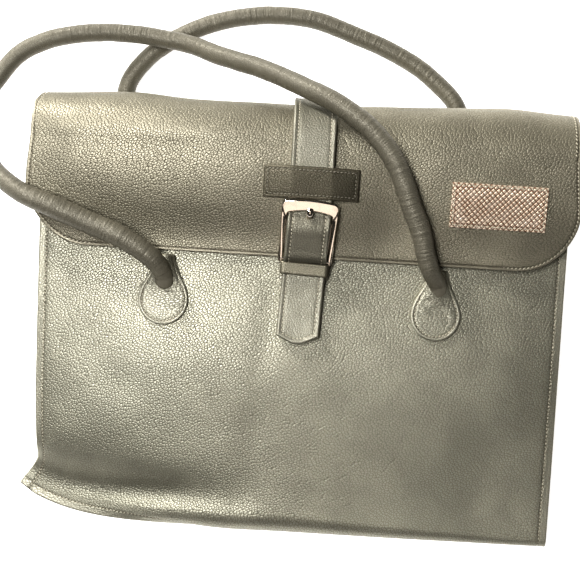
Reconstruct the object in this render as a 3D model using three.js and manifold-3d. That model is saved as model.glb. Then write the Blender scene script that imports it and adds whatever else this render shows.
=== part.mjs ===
// Leather document case with a flap, two rolled handles and a buckled strap, lying on its back panel.
// Millimetres. X runs across the case, Y from its bottom seam towards the fold of its flap, Z up from
// the surface that it lies on. The origin is the centre of the flat area that rests on that surface.
import * as THREE from "three";
import { mergeVertices } from "three/addons/utils/BufferGeometryUtils.js";
import Module from "manifold-3d";

const wasm = await Module();
wasm.setup();
const { clamp, degToRad, lerp, smoothstep } = THREE.MathUtils;

// Case
const caseWidth = 424; // across a panel, seam edge to seam edge
const panelLength = 310; // bottom seam to mouth
const caseDepth = 70; // front panel at the mouth above the surface that the case lies on
const leather = 2; // panels
const gussetLeather = 1.8;
const seamWidth = 6.5; // leather outside each seam's stitching
const gap = 0.35; // between pieces that touch
const restLength = 130; // flat part of the back panel, from the bottom seam
const liftLength = 85; // over which the back panel climbs onto the handle below it
const sideDrop = 12; // front panel's edges below its crest
const gussetFold = 17; // how far the side gussets fold in
const bottomFold = 7; // how far the bottom gusset folds in

// Flap
const flapOverhang = 1.5; // of the fold past each side of the case
const flapFlare = 11; // how much wider the flap is at its front than at its fold
const flapLeather = 2.6;
const flapSeam = 20; // overlap behind the back panel
const flapRise = 10; // crest of the flap above the mouth of the front panel
const foldReach = 35; // how far the fold stands out past the panels
const flapAside = -1.4; // middle of the flap's front from the case's middle line
const flapDrop = 90; // crest of the flap to its free edge
const flapCorner = 48; // radius of the free edge's corners
const flapSideDrop = 10;

// Handles
const handleDiameter = 14;
const tabSpacing = 217; // between the middles of a handle's two tabs
const tabWidth = 40;
const tabBelow = 39; // from the flap's free edge down to the middle of the tab's round end
const tabNeck = 36; // round end's middle to the tip under the handle
const tabLeather = 2.2;
const handleSides = 10;
const handleSteps = 44;

// Strap, its band and keeper
const strapWidth = 34;
const strapLeather = 3.2;
const strapAcross = 3.5; // middle of the strap from the case's middle line
const strapTail = 66.5; // pivot to the strap's tip
const strapBack = 50; // length of strap on the back panel below the flap's seam
const strapPoint = 4.5; // length of the pointed end
const bandWidth = 75;
const bandHeight = 25;
const bandClear = 1; // from the buckle up to the band
const bandLeather = 2;
const keeperHeight = 10;
const keeperBelow = 2; // from the pivot down to the keeper
const keeperLeather = 1.5;

// Buckle
const frameHeight = 46.5; // pivot to the crest of the top bar
const frameArch = 4.5;
const frameSide = 4.6; // width of a side bar
const frameTopBar = 10.8;
const frameThickness = 3;
const pivotDiameter = 3.2;
const pivotBelow = 1.5; // from the flap's free edge down to the pivot
const strapPlay = 0.8; // each side of the strap inside the frame
const prongDiameter = 2.6;
const prongEyeWall = 1.3;
const strapLean = 2.3; // degrees that the buckle and the strap's end lean from the case's middle line
const buckleTabWidth = 29;
const buckleTabLeather = 1.5;
const buckleTabLength = 48.5; // pivot to the lower end of the tab that holds the buckle

// Label
const labelWidth = 76;
const labelHeight = 35;
const labelLeather = 1.4;
const labelAside = 28; // from the flap's right edge in to the label
const labelRaise = 31.5; // from the flap's free edge up to the label

// Shapes as shares of the sizes that they follow. across is a share of half the case's width, up a
// share of the panel's length, z, deep and radius shares of the case's depth.
const crestLine = [
  { up: 0, z: 0.7 },
  { up: 0.1, z: 0.735 },
  { up: 0.25, z: 0.785 },
  { up: 0.5, z: 0.85 },
  { up: 0.7, z: 0.895 },
  { up: 0.85, z: 0.95 },
  { up: 1, z: 1 },
];
const frontRidge = -0.14; // where the front panel's crest runs, as a share across
const frontDents = [
  { across: -1, up: 0.02, wide: 0.42, tall: 0.13, deep: 0.32 },
  { across: -0.5, up: 0.06, wide: 0.3, tall: 0.085, deep: 0.11 },
  { across: 0.68, up: 0.16, wide: 0.14, tall: 0.12, deep: 0.025 },
  { across: -0.72, up: 0.42, wide: 0.16, tall: 0.14, deep: 0.02 },
];
const bottomLine = [
  { across: -1, rise: 0.077 },
  { across: -0.94, rise: 0.046 },
  { across: -0.82, rise: 0.018 },
  { across: -0.66, rise: 0.004 },
  { across: -0.45, rise: 0 },
  { across: 1, rise: 0 },
];
const leftEdge = [
  { up: 0, out: 1.048 },
  { up: 0.06, out: 1.0 },
  { up: 0.13, out: 0.975 },
  { up: 0.36, out: 0.986 },
  { up: 0.75, out: 1 },
  { up: 1, out: 1 },
];
const bottomRoll = [
  { across: -1, arc: 0.07, turn: 0 },
  { across: -0.72, arc: 0.09, turn: 8 },
  { across: -0.5, arc: 0.16, turn: 52 },
  { across: -0.3, arc: 0.33, turn: 90 },
  { across: 0, arc: 0.377, turn: 90 },
  { across: 0.4, arc: 0.283, turn: 90 },
  { across: 0.85, arc: 0.173, turn: 90 },
  { across: 1, arc: 0.141, turn: 90 },
];
// The fold's reach across the flap, from its left edge to its right
const foldLine = [
  { across: -1, reach: 0.91 },
  { across: -0.66, reach: 1.02 },
  { across: -0.42, reach: 0.93 },
  { across: -0.08, reach: 0.95 },
  { across: 0.26, reach: 1.02 },
  { across: 0.7, reach: 1.14 },
  { across: 1, reach: 1.08 },
];
// How far the flap has come down from its crest (0) to its free edge (1)
const flapSlope = [
  { down: 0, fall: 0 },
  { down: 0.25, fall: 0.1 },
  { down: 0.6, fall: 0.56 },
  { down: 1, fall: 1 },
];
const flapDents = [
  { across: -0.55, down: 0.1, wide: 0.3, tall: 0.25, deep: 0.03 },
  { across: 0.5, down: 0.75, wide: 0.2, tall: 0.3, deep: 0.014 },
];
// Middle of each handle from its left tab to its right, up as a share of the case's full length
const frontRoute = [
  { across: -0.552, up: 0.6167, z: 1.064, girth: 1.12 },
  { across: -0.67, up: 0.6614, z: 1.114, girth: 1.2 },
  { across: -0.811, up: 0.6945, z: 1.071, girth: 1.22 },
  { across: -0.962, up: 0.7291, z: 1.079, girth: 1.18 },
  { across: -1.038, up: 0.7507, z: 1.05, girth: 1.12 },
  { across: -1.099, up: 0.7752, z: 0.971, girth: 1.06 },
  { across: -1.165, up: 0.8098, z: 0.814, girth: 1.02 },
  { across: -1.236, up: 0.8588, z: 0.614, girth: 1 },
  { across: -1.278, up: 0.9222, z: 0.464, girth: 1 },
  { across: -1.259, up: 0.9798, z: 0.4, girth: 1 },
  { across: -1.212, up: 1.0288, z: 0.371, girth: 1 },
  { across: -1.146, up: 1.0836, z: 0.343, girth: 1 },
  { across: -1.04, up: 1.1225, z: 0.321, girth: 1 },
  { across: -0.929, up: 1.1412, z: 0.314, girth: 1 },
  { across: -0.811, up: 1.1499, z: 0.314, girth: 1 },
  { across: -0.708, up: 1.1499, z: 0.321, girth: 1 },
  { across: -0.594, up: 1.1427, z: 0.343, girth: 1 },
  { across: -0.479, up: 1.1297, z: 0.4, girth: 1.02 },
  { across: -0.363, up: 1.1037, z: 0.543, girth: 1.04 },
  { across: -0.186, up: 1.0692, z: 0.8, girth: 1.06 },
  { across: -0.014, up: 1.0219, z: 1.086, girth: 1.08 },
  { across: 0.113, up: 0.9827, z: 1.243, girth: 1.1 },
  { across: 0.226, up: 0.9308, z: 1.3, girth: 1.12 },
  { across: 0.307, up: 0.8761, z: 1.3, girth: 1.13 },
  { across: 0.349, up: 0.8271, z: 1.271, girth: 1.13 },
  { across: 0.392, up: 0.7637, z: 1.221, girth: 1.12 },
  { across: 0.429, up: 0.7147, z: 1.171, girth: 1.1 },
  { across: 0.455, up: 0.6628, z: 1.107, girth: 1.06 },
  { across: 0.481, up: 0.6254, z: 1.043, girth: 1.03 },
];
const backRoute = [
  { across: -0.53, up: 0.65 },
  { across: -0.62, up: 0.8 },
  { across: -0.69, up: 0.93 },
  { across: -0.728, up: 1.022 },
  { across: -0.65, up: 1.104 },
  { across: -0.467, up: 1.179 },
  { across: -0.25, up: 1.218 },
  { across: -0.03, up: 1.22 },
  { across: 0.15, up: 1.188 },
  { across: 0.333, up: 1.14 },
  { across: 0.46, up: 1.09 },
  { across: 0.569, up: 1.022 },
  { across: 0.6, up: 0.93 },
  { across: 0.57, up: 0.8 },
  { across: 0.52, up: 0.65 },
];

// Sizes that follow
const halfWidth = caseWidth / 2;
const seamShare = seamWidth / halfWidth;
const backLift = handleDiameter + 2 * gap + flapLeather;
const foldUp = panelLength + 2; // where the flap starts to turn over the mouth
const caseLength = foldUp + foldReach;
const crestZ = caseDepth + flapRise;
const flapEdgeUp = foldUp - flapDrop;
const flapFoldWidth = caseWidth + 2 * flapOverhang;
const flapWidth = flapFoldWidth + flapFlare;
const labelAcross = flapWidth / 2 + flapAside - labelAside - labelWidth / 2;
const labelUp = flapEdgeUp + labelRaise;
const tabRoundUp = flapEdgeUp - tabBelow;
const pivotUp = flapEdgeUp - pivotBelow;
const bandUp = pivotUp + frameHeight + bandClear;
const keeperUp = pivotUp - keeperBelow - keeperHeight;
const strapEndUp = pivotUp - strapTail;
const buckleTabUp = pivotUp - buckleTabLength;
const frameInside = strapWidth + 2 * strapPlay;
const barLowUp = pivotUp + frameHeight - frameTopBar - 1; // where the strap comes out from under the top bar

// A table's column at a place between its rows, as a smooth curve through them
function read(table, key, place, column) {
  const last = table.length - 1;
  const at = clamp(place, table[0][key], table[last][key]);
  let i = 0;
  while (i < last - 1 && table[i + 1][key] < at) i += 1;
  const a = table[i];
  const b = table[i + 1];
  const before = table[Math.max(i - 1, 0)];
  const after = table[Math.min(i + 2, last)];
  const span = b[key] - a[key];
  const leave = ((b[column] - before[column]) / (b[key] - before[key])) * span;
  const arrive = ((after[column] - a[column]) / (after[key] - a[key])) * span;
  const t = (at - a[key]) / span;
  const bend = (2 * t - 3) * t * t;
  const curve = t * (t - 1);
  return a[column] * (1 + bend) - b[column] * bend + curve * ((t - 1) * leave + t * arrive);
}

// Sum of round dents at a place, each deepest in its middle
function dented(dents, across, key, along) {
  let deep = 0;
  for (const dent of dents) {
    const aside = (across - dent.across) / dent.wide;
    const away = (along - dent[key]) / dent.tall;
    deep += dent.deep * Math.exp(-aside * aside - away * away);
  }
  return deep;
}

function gridOf(rows, columns, pointAt) {
  return rows.map((row) => columns.map((column) => pointAt(row, column)));
}

// The same grid moved by a distance along its own normals, away from the side given by facing
function offset(grid, distance, facing = 1) {
  const lastRow = grid.length - 1;
  const lastColumn = grid[0].length - 1;
  return grid.map((row, i) =>
    row.map((point, j) => {
      const along = grid[Math.min(i + 1, lastRow)][j].clone().sub(grid[Math.max(i - 1, 0)][j]);
      const aside = row[Math.min(j + 1, lastColumn)].clone().sub(row[Math.max(j - 1, 0)]);
      const normal = along.cross(aside).normalize();
      return point.clone().addScaledVector(normal, distance * facing);
    }),
  );
}

function part(grid, firstRow, lastRow, firstColumn, lastColumn) {
  return grid.slice(firstRow, lastRow + 1).map((row) => row.slice(firstColumn, lastColumn + 1));
}

// Geometry with shared corners whose faces point out
function closedGeometry(points, faces) {
  const a = new THREE.Vector3();
  let volume = 0;
  for (const [p, q, r] of faces) volume += a.crossVectors(points[p], points[q]).dot(points[r]);
  const turned = volume < 0 ? faces.map(([p, q, r]) => [p, r, q]) : faces;
  const geometry = new THREE.BufferGeometry();
  geometry.setAttribute(
    "position",
    new THREE.Float32BufferAttribute(points.flatMap((p) => p.toArray()), 3),
  );
  geometry.setIndex(turned.flat());
  return geometry;
}

// Closed solid between two grids of points of the same size
function between(over, under) {
  const rows = over.length;
  const columns = over[0].length;
  const points = [...over.flat(), ...under.flat()];
  const at = (layer, i, j) => (layer * rows + i) * columns + j;
  const faces = [];
  const quad = (p, q, r, s) => faces.push([p, q, r], [p, r, s]);
  for (let i = 0; i < rows - 1; i += 1) {
    for (let j = 0; j < columns - 1; j += 1) {
      quad(at(0, i, j), at(0, i + 1, j), at(0, i + 1, j + 1), at(0, i, j + 1));
      quad(at(1, i, j), at(1, i, j + 1), at(1, i + 1, j + 1), at(1, i + 1, j));
    }
    quad(at(0, i, 0), at(1, i, 0), at(1, i + 1, 0), at(0, i + 1, 0));
    const j = columns - 1;
    quad(at(0, i, j), at(0, i + 1, j), at(1, i + 1, j), at(1, i, j));
  }
  for (let j = 0; j < columns - 1; j += 1) {
    quad(at(0, 0, j), at(0, 0, j + 1), at(1, 0, j + 1), at(1, 0, j));
    const i = rows - 1;
    quad(at(0, i, j), at(1, i, j), at(1, i, j + 1), at(0, i, j + 1));
  }
  return closedGeometry(points, faces);
}

// Closed solid through rings of points, with a middle point at each end
function loft(rings) {
  const sides = rings[0].length;
  const last = rings.length - 1;
  const middle = (ring) =>
    ring.reduce((sum, p) => sum.add(p), new THREE.Vector3()).divideScalar(sides);
  const points = [...rings.flat(), middle(rings[0]), middle(rings[last])];
  const firstEnd = rings.length * sides;
  const faces = [];
  for (let k = 0; k < sides; k += 1) {
    const next = (k + 1) % sides;
    for (let i = 0; i < last; i += 1) {
      const [a, b] = [i * sides, (i + 1) * sides];
      faces.push([a + k, a + next, b + next], [a + k, b + next, b + k]);
    }
    faces.push([firstEnd, next, k], [firstEnd + 1, last * sides + k, last * sides + next]);
  }
  return closedGeometry(points, faces);
}

function welded(geometry) {
  geometry.deleteAttribute("normal");
  geometry.deleteAttribute("uv");
  return mergeVertices(geometry, 1e-4);
}

function toSolid(geometry) {
  return new wasm.Manifold(
    new wasm.Mesh({
      numProp: 3,
      vertProperties: geometry.attributes.position.array,
      triVerts: new Uint32Array(geometry.index.array),
    }),
  );
}

function toGeometry(solid) {
  const { vertProperties, triVerts } = solid.getMesh();
  const geometry = new THREE.BufferGeometry();
  geometry.setAttribute("position", new THREE.BufferAttribute(vertProperties, 3));
  geometry.setIndex(new THREE.BufferAttribute(triVerts, 1));
  return geometry;
}

const joined = (...geometries) =>
  toGeometry(geometries.map(toSolid).reduce((sum, piece) => sum.add(piece)));
const cut = (geometry, ...tools) =>
  toGeometry(tools.map(toSolid).reduce((rest, tool) => rest.subtract(tool), toSolid(geometry)));

const leatherColour = new THREE.Color(0.35, 0.32, 0.25);
const nickelColour = new THREE.Color(0.8, 0.76, 0.7);
const labelColour = new THREE.Color(0.62, 0.45, 0.36);
const looks = {
  leather: { color: leatherColour, roughness: 0.5, metalness: 0 },
  nickel: { color: nickelColour, roughness: 0.15, metalness: 1 },
  label: { color: labelColour, roughness: 0.35, metalness: 0.4 },
};

const documentCase = new THREE.Group();
const assembly = new THREE.Group();
assembly.position.y = -restLength / 2;
documentCase.add(assembly);

function add(name, geometry, look) {
  geometry.computeVertexNormals();
  const material = new THREE.MeshStandardMaterial({ ...looks[look], side: THREE.DoubleSide });
  const mesh = new THREE.Mesh(geometry, material);
  mesh.name = name;
  assembly.add(mesh);
  return mesh;
}

// Height of what is already there at a place, from above or from below
const ray = new THREE.Raycaster();
const above = 1000;
function heightOn(meshes, x, up, side = 1) {
  const look = new THREE.Vector3(0, 0, -side);
  ray.set(new THREE.Vector3(x, up, above * side), look);
  const hits = ray.intersectObjects(meshes, false);
  return hits.length ? hits[0].point.z : -Infinity * side;
}

// Panels: across runs from -1 at the left seam edge to 1, along is the distance from the bottom edge
function panelPoint(across, along, z) {
  const out = across < 0 ? read(leftEdge, "up", along / panelLength, "out") : 1;
  const x = across * halfWidth * (1 + (out - 1) * across ** 4);
  const rise = read(bottomLine, "across", across, "rise") * panelLength;
  const fade = 1 - smoothstep(along, 0, 0.24 * panelLength);
  return new THREE.Vector3(x, along + rise * fade, z);
}

function frontHeight(across, along) {
  const up = along / panelLength;
  const reach = across < frontRidge ? 1 + frontRidge : 1 - frontRidge;
  const drop = sideDrop * (Math.abs(across - frontRidge) / reach) ** 1.9;
  const crest = caseDepth * (read(crestLine, "up", up, "z") - dented(frontDents, across, "up", up));
  return crest - drop;
}

const frontColumns = [-1, seamShare - 1, -0.9, -0.8, -0.7, -0.6, -0.5, -0.4, -0.26, -0.14, 0, 0.16]
  .concat([0.32, 0.48, 0.64, 0.78, 0.9, 1 - seamShare, 1]);
const seamColumn = frontColumns.length - 2;
const lastColumn = frontColumns.length - 1;
const frontRows = [1, 0.88, 0.76, 0.64, 0.53, 0.43, 0.34, 0.26, 0.2, 0.15, 0.11, 0.075, 0.038, 0];
const rollSteps = [0.33, 0.67, 1];
const flatRows = frontRows.length - 1;
const seamRow = flatRows + rollSteps.length;
const lastRow = seamRow + 1;

// How far the bottom roll has gone at a share of its arc: back towards the bottom seam, and down
function rolled(across, share) {
  const arc = read(bottomRoll, "across", across, "arc") * caseDepth;
  const turn = Math.max(degToRad(read(bottomRoll, "across", across, "turn")), 0.01);
  const radius = arc / turn;
  return {
    back: radius * Math.sin(turn * share),
    down: radius * (1 - Math.cos(turn * share)),
    turn,
  };
}

// Front panel: a crowned sheet, then a roll at the bottom, then the leather outside the seam
function frontPoint(row, across) {
  const whole = rolled(across, 1);
  const seamBack = seamWidth * Math.cos(whole.turn);
  const start = whole.back + seamBack;
  if (row <= flatRows) {
    const along = lerp(start, panelLength, frontRows[row]);
    return panelPoint(across, along, frontHeight(across, along));
  }
  const gone = row === lastRow ? whole : rolled(across, rollSteps[row - flatRows - 1]);
  const past = row === lastRow ? 1 : 0;
  const down = gone.down + past * seamWidth * Math.sin(whole.turn);
  return panelPoint(across, start - gone.back - past * seamBack, frontHeight(across, start) - down);
}
const frontOuter = gridOf([...Array(lastRow + 1).keys()], frontColumns, frontPoint);
const frontPanel = add("front_panel", between(frontOuter, offset(frontOuter, leather, -1)), "leather");

// Back panel: flat where it rests, raised where the handle lies under it
function backHeight(along) {
  return backLift * smoothstep(along, restLength, restLength + liftLength);
}
const backColumns = [-1, seamShare - 1, -0.9, -0.8, -0.65, -0.45, 0, 0.5, 1 - seamShare, 1];
const backRows = [0, 0.11, 0.26, 0.42, 0.47, 0.51, 0.55, 0.59, 0.63, 0.68, 0.76, 0.88, 1];
const backOuter = gridOf(backRows, backColumns, (row, across) =>
  panelPoint(across, row * panelLength, backHeight(row * panelLength)),
);
const raised = (grid, distance) =>
  grid.map((row) => row.map((point) => point.clone().setZ(point.z + distance)));
const backPanel = add("back_panel", between(raised(backOuter, leather), backOuter), "leather");

// Gussets: a web between the panels with a flange against each of them outside the seam
const flangeOver = offset(frontOuter, leather + 2 * gap, -1);
const flangeUnder = offset(frontOuter, leather + 2 * gap + gussetLeather, -1);

function backFlange(rows, columns) {
  const over = gridOf(rows, columns, (along, across) =>
    panelPoint(across, along, backHeight(along) + leather + gap),
  );
  return between(raised(over, gussetLeather), over);
}

// Web through a row of top points and a row of bottom points, bowed by a vector
function web(tops, bottoms, steps, bowAt, thicknessSide) {
  const grid = tops.map((top, i) =>
    steps.map((step) => {
      const bow = bowAt(i).multiplyScalar(Math.sin(Math.PI * step));
      return top.clone().lerp(bottoms[i], step).add(bow);
    }),
  );
  return between(grid, offset(grid, gussetLeather, thicknessSide));
}

const foldSteps = [0, 0.17, 0.34, 0.5, 0.66, 0.83, 1];
const bottomClear = seamWidth + gussetLeather + gap;
const backFlangeMiddle = leather + gap + gussetLeather / 2;
const webInset = 0.2 * gussetLeather; // of a web behind the edge of its flange
function sideGusset(side) {
  const edge = side < 0 ? 0 : lastColumn;
  const seam = side < 0 ? 1 : seamColumn;
  const [low, high] = [Math.min(edge, seam), Math.max(edge, seam)];
  const frontFlange = between(
    part(flangeOver, 0, lastRow, low, high),
    part(flangeUnder, 0, lastRow, low, high),
  );
  const tops = flangeUnder.slice(0, flatRows + 1).map((row) => row[seam].clone());
  for (const [i, top] of tops.entries()) {
    top.lerp(flangeOver[i][seam], 0.25);
    top.x += side * webInset;
  }
  const alongs = frontRows.map((row) => lerp(bottomClear, panelLength, row));
  const bottoms = alongs.map((along, i) => {
    const point = panelPoint(frontColumns[seam], along, backHeight(along));
    return new THREE.Vector3(point.x + side * webInset, tops[i].y, point.z + backFlangeMiddle);
  });
  const fold = (i) => {
    const depth = gussetFold * smoothstep(alongs[i], 0, 0.2 * panelLength);
    return new THREE.Vector3(-side * depth, 0, 0);
  };
  const back = backFlange(
    [seamWidth + gap, ...backRows.slice(1).map((row) => row * panelLength)],
    [frontColumns[low], frontColumns[high]],
  );
  return joined(frontFlange, web(tops, bottoms, foldSteps, fold, side), back);
}
add("side_gusset_left", sideGusset(-1), "leather");
add("side_gusset_right", sideGusset(1), "leather");

function bottomGusset() {
  const trim = 0.06; // share of a column kept clear of the side gussets
  const trimmed = (row) => {
    const inner = row.slice(1, seamColumn + 1).map((point) => point.clone());
    inner[0].lerp(inner[1], trim);
    inner.at(-1).lerp(inner.at(-2), trim);
    return inner;
  };
  const flange = [seamRow, lastRow].map((i) => trimmed(flangeOver[i]));
  const deeper = [seamRow, lastRow].map((i) => trimmed(flangeUnder[i]));
  const layer = (share) =>
    flange.map((row, i) => row.map((point, j) => point.clone().lerp(deeper[i][j], share)));
  const [over, under] = [layer(0.3), layer(1.2)];
  const acrossList = frontColumns.slice(1, seamColumn + 1);
  acrossList[0] = lerp(acrossList[0], acrossList[1], trim);
  acrossList[acrossList.length - 1] = lerp(acrossList.at(-1), acrossList.at(-2), trim);
  const tops = under[0].map((point, j) => point.clone().lerp(over[0][j], 0.3));
  for (const point of tops) point.y -= gussetLeather / 2;
  const bottoms = acrossList.map((across, j) => {
    const point = panelPoint(across, seamWidth - 1.6 * gussetLeather, 0);
    return point.setZ(leather + gap + 0.8 * gussetLeather).setX(tops[j].x);
  });
  const bow = (j) => {
    const end = 1 - smoothstep(Math.abs(acrossList[j]), 0.78, 0.92);
    const turned = read(bottomRoll, "across", acrossList[j], "turn") / 90;
    return new THREE.Vector3(0, bottomFold * turned * end, 0);
  };
  const back = backFlange([0, seamWidth], acrossList);
  return joined(between(over, under), web(tops, bottoms, [0, 0.25, 0.5, 0.75, 1], bow, 1), back);
}
add("bottom_gusset", bottomGusset(), "leather");

// Flap: a lap under the back panel, a fold past the mouth, then the front down to its free edge
const strapShares = [-1, 0, 1].map(
  (edge) => (strapAcross + (edge * strapWidth) / 2) / (flapFoldWidth / 2),
);
const flapColumns = [-1, -0.9, -0.78, -0.66, -0.54, -0.42, -0.3, -0.18]
  .concat(strapShares)
  .concat([0.2, 0.32, 0.45, 0.58, 0.7, 0.8, 0.9, 1]);
const strapColumn = flapColumns.indexOf(strapShares[0]); // first of the columns under the strap
const foldTurns = [0, 15, 30, 45, 60, 75, 90, 105, 120, 135, 150, 165, 180];
const cornerShares = [1.3, 1, 0.66, 0.38, 0.18, 0.05, 0]; // of the corner's radius, above the free edge
const flapFrontUps = [0.1, 0.22, 0.34]
  .map((down) => foldUp - down * flapDrop)
  .concat(cornerShares.map((share) => flapEdgeUp + share * flapCorner));
const flapRows = [foldUp - flapSeam, foldUp - flapSeam / 2]
  .map((up) => ({ up, turn: 0 }))
  .concat(foldTurns.map((turn) => ({ up: foldUp, turn: degToRad(turn) })))
  .concat(flapFrontUps.map((up) => ({ up, turn: Math.PI })));
const lapZ = handleDiameter + gap;

function flapPoint(row, across) {
  const { up, turn } = row;
  const top = crestZ - flapSideDrop * across ** 2;
  const middle = (top + lapZ) / 2;
  const half = (top - lapZ) / 2;
  if (turn < Math.PI) {
    const reach = read(foldLine, "across", across, "reach") * foldReach;
    const x = (across * flapFoldWidth) / 2;
    return new THREE.Vector3(x, up + reach * Math.sin(turn), middle - half * Math.cos(turn));
  }
  const down = (foldUp - up) / flapDrop;
  const ease = smoothstep(down, 0, 0.6);
  const above = up - flapEdgeUp;
  const cornerLoss =
    above < flapCorner ? flapCorner - Math.sqrt(flapCorner ** 2 - (flapCorner - above) ** 2) : 0;
  const full = (across * lerp(flapFoldWidth, flapWidth, ease)) / 2;
  const x = full - cornerLoss * across ** 3 + flapAside * ease;
  const overPanel = clamp(x / halfWidth, -1, 1);
  const rest = frontHeight(overPanel, flapEdgeUp) + 2 * gap + flapLeather;
  const fall = read(flapSlope, "down", down, "fall");
  const dent = dented(flapDents, across, "down", down) * caseDepth * Math.sin(Math.PI * down);
  return new THREE.Vector3(x, up, lerp(top, rest, fall) - dent);
}
const flapOuter = gridOf(flapRows, flapColumns, flapPoint);
const flap = add("flap", between(flapOuter, offset(flapOuter, flapLeather, -1)), "leather");

// Label on the flap
const labelGrid = gridOf([1, 0.67, 0.33, 0], [-0.5, -0.3, -0.1, 0.1, 0.3, 0.5], (row, column) => {
  const x = labelAcross + column * labelWidth;
  const up = labelUp + row * labelHeight;
  return new THREE.Vector3(x, up, heightOn([flap], x, up) + 1.8 * gap);
});
add("label_patch", between(raised(labelGrid, labelLeather), labelGrid), "label");

// Tab that holds the buckle: a stem on the front panel and a loop round the pivot
const frontAt = (x, up) => heightOn([frontPanel], x, up);
const flapAt = (x, up) => heightOn([flap], x, up);
const pivotX = strapAcross - (barLowUp - pivotUp) * Math.tan(degToRad(strapLean));
const loopInside = pivotDiameter / 2 + gap;
const loopRadius = loopInside + buckleTabLeather;
const tabEdges = [-0.5, 0, 0.5].map((share) => pivotX + share * buckleTabWidth);
const flapEdgeZ = Math.max(...tabEdges.map((x) => flapAt(x, flapEdgeUp + 0.1)));
const pivotZ = flapEdgeZ + gap + loopRadius;
const stemZ = (up) => Math.max(...tabEdges.map((x) => frontAt(x, up))) + gap;
const stemEndUp = pivotUp - 4.2 * loopRadius;

function buckleTab() {
  const stemUps = [0, 0.33, 0.66, 1].map((share) => lerp(buckleTabUp, stemEndUp, share));
  const shape = new THREE.Shape();
  shape.moveTo(stemUps[0], stemZ(stemUps[0]));
  for (const up of stemUps.slice(1)) shape.lineTo(up, stemZ(up));
  const steps = 14;
  for (let i = 0; i <= steps; i += 1) {
    const turn = degToRad(lerp(-90, 125, i / steps));
    shape.lineTo(pivotUp + loopRadius * Math.cos(turn), pivotZ + loopRadius * Math.sin(turn));
  }
  for (const up of stemUps.reverse()) shape.lineTo(up, stemZ(up) + buckleTabLeather);
  const hole = new THREE.Path();
  hole.absarc(pivotUp, pivotZ, loopInside, 0, 2 * Math.PI, true);
  shape.holes.push(hole);
  const settings = { depth: buckleTabWidth, bevelEnabled: false, curveSegments: 10 };
  const geometry = welded(new THREE.ExtrudeGeometry(shape, settings));
  const turned = new THREE.Matrix4().makeBasis(
    new THREE.Vector3(0, 1, 0),
    new THREE.Vector3(0, 0, 1),
    new THREE.Vector3(1, 0, 0),
  );
  geometry.applyMatrix4(turned).translate(-buckleTabWidth / 2, -pivotUp, 0);
  geometry.rotateZ(-degToRad(strapLean)).translate(pivotX, pivotUp, 0);
  const slotWidth = prongDiameter + 2 * prongEyeWall;
  const slot = welded(new THREE.BoxGeometry(slotWidth, 4 * loopRadius, 3 * loopRadius));
  slot.translate(pivotX, pivotUp + 0.9 * loopRadius, pivotZ);
  return cut(geometry, slot);
}
const tab = add("buckle_tab", buckleTab(), "leather");

// Keeper: its line under the strap rests on the tab at both of its ends
const strapX = (up) =>
  strapAcross - Math.max(barLowUp - up, 0) * Math.tan(degToRad(strapLean));
const tabTop = (up) => Math.max(...[-1, 0, 1].map((side) => tabTopAt(pivotX + side * 0.28 * buckleTabWidth, up)));
const tabTopAt = (x, up) => Math.max(heightOn([tab], x, up), frontAt(x, up));
const keeperRise = 0.35; // most that the keeper climbs for its height
const keeperTop = tabTop(keeperUp + keeperHeight) + 2.5 * gap;
const keeperLow = Math.max(tabTop(keeperUp) + 2.5 * gap, keeperTop - keeperRise * keeperHeight);
const keeperEnds = [keeperLow, keeperTop];
const keeperSlope = Math.atan2(keeperEnds[1] - keeperEnds[0], keeperHeight);

function keeperLoop() {
  const inside = { x: strapWidth / 2 + 1.5 * gap, z: strapLeather + 4 * gap };
  const wall = keeperLeather;
  const rounded = (Path, halfWide, low, high, radius) => {
    const path = new Path();
    path.moveTo(halfWide, low + radius);
    path.absarc(halfWide - radius, high - radius, radius, 0, Math.PI / 2, false);
    path.absarc(radius - halfWide, high - radius, radius, Math.PI / 2, Math.PI, false);
    path.absarc(radius - halfWide, low + radius, radius, Math.PI, 1.5 * Math.PI, false);
    path.absarc(halfWide - radius, low + radius, radius, 1.5 * Math.PI, 2 * Math.PI, false);
    return path;
  };
  const shape = rounded(THREE.Shape, inside.x + wall, -wall, inside.z + wall, wall);
  shape.holes.push(rounded(THREE.Path, inside.x, 0, inside.z, 0.3));
  const settings = { depth: keeperHeight / Math.cos(keeperSlope), bevelEnabled: false };
  const geometry = new THREE.ExtrudeGeometry(shape, { ...settings, curveSegments: 2 });
  return geometry.rotateX(Math.PI / 2).translate(0, settings.depth, 0);
}
const keeper = add("keeper_loop", welded(keeperLoop()), "leather");
keeper.rotation.order = "ZXY";
keeper.rotation.set(keeperSlope, 0, -degToRad(strapLean));
keeper.position.set(strapX(keeperUp), keeperUp, keeperEnds[0] + keeperLeather / Math.cos(keeperSlope));

// Buckle: a frame whose side bars end in a pivot, and a prong round that pivot
const barUps = [0, 0.5, 1].map((share) => pivotUp + frameHeight - share * frameTopBar);
const slopes = barUps.map((up) => {
  const strapTop = Math.max(...[-0.5, 0, 0.5].map((s) => flapAt(strapAcross + s * strapWidth, up)));
  const z = strapTop + 3.6 * gap + strapLeather + frameThickness / 2;
  return Math.atan2(z - pivotZ, up - pivotUp);
});
const frameTilt = Math.max(...slopes);
const eyeRadius = pivotDiameter / 2 + 1;

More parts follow.
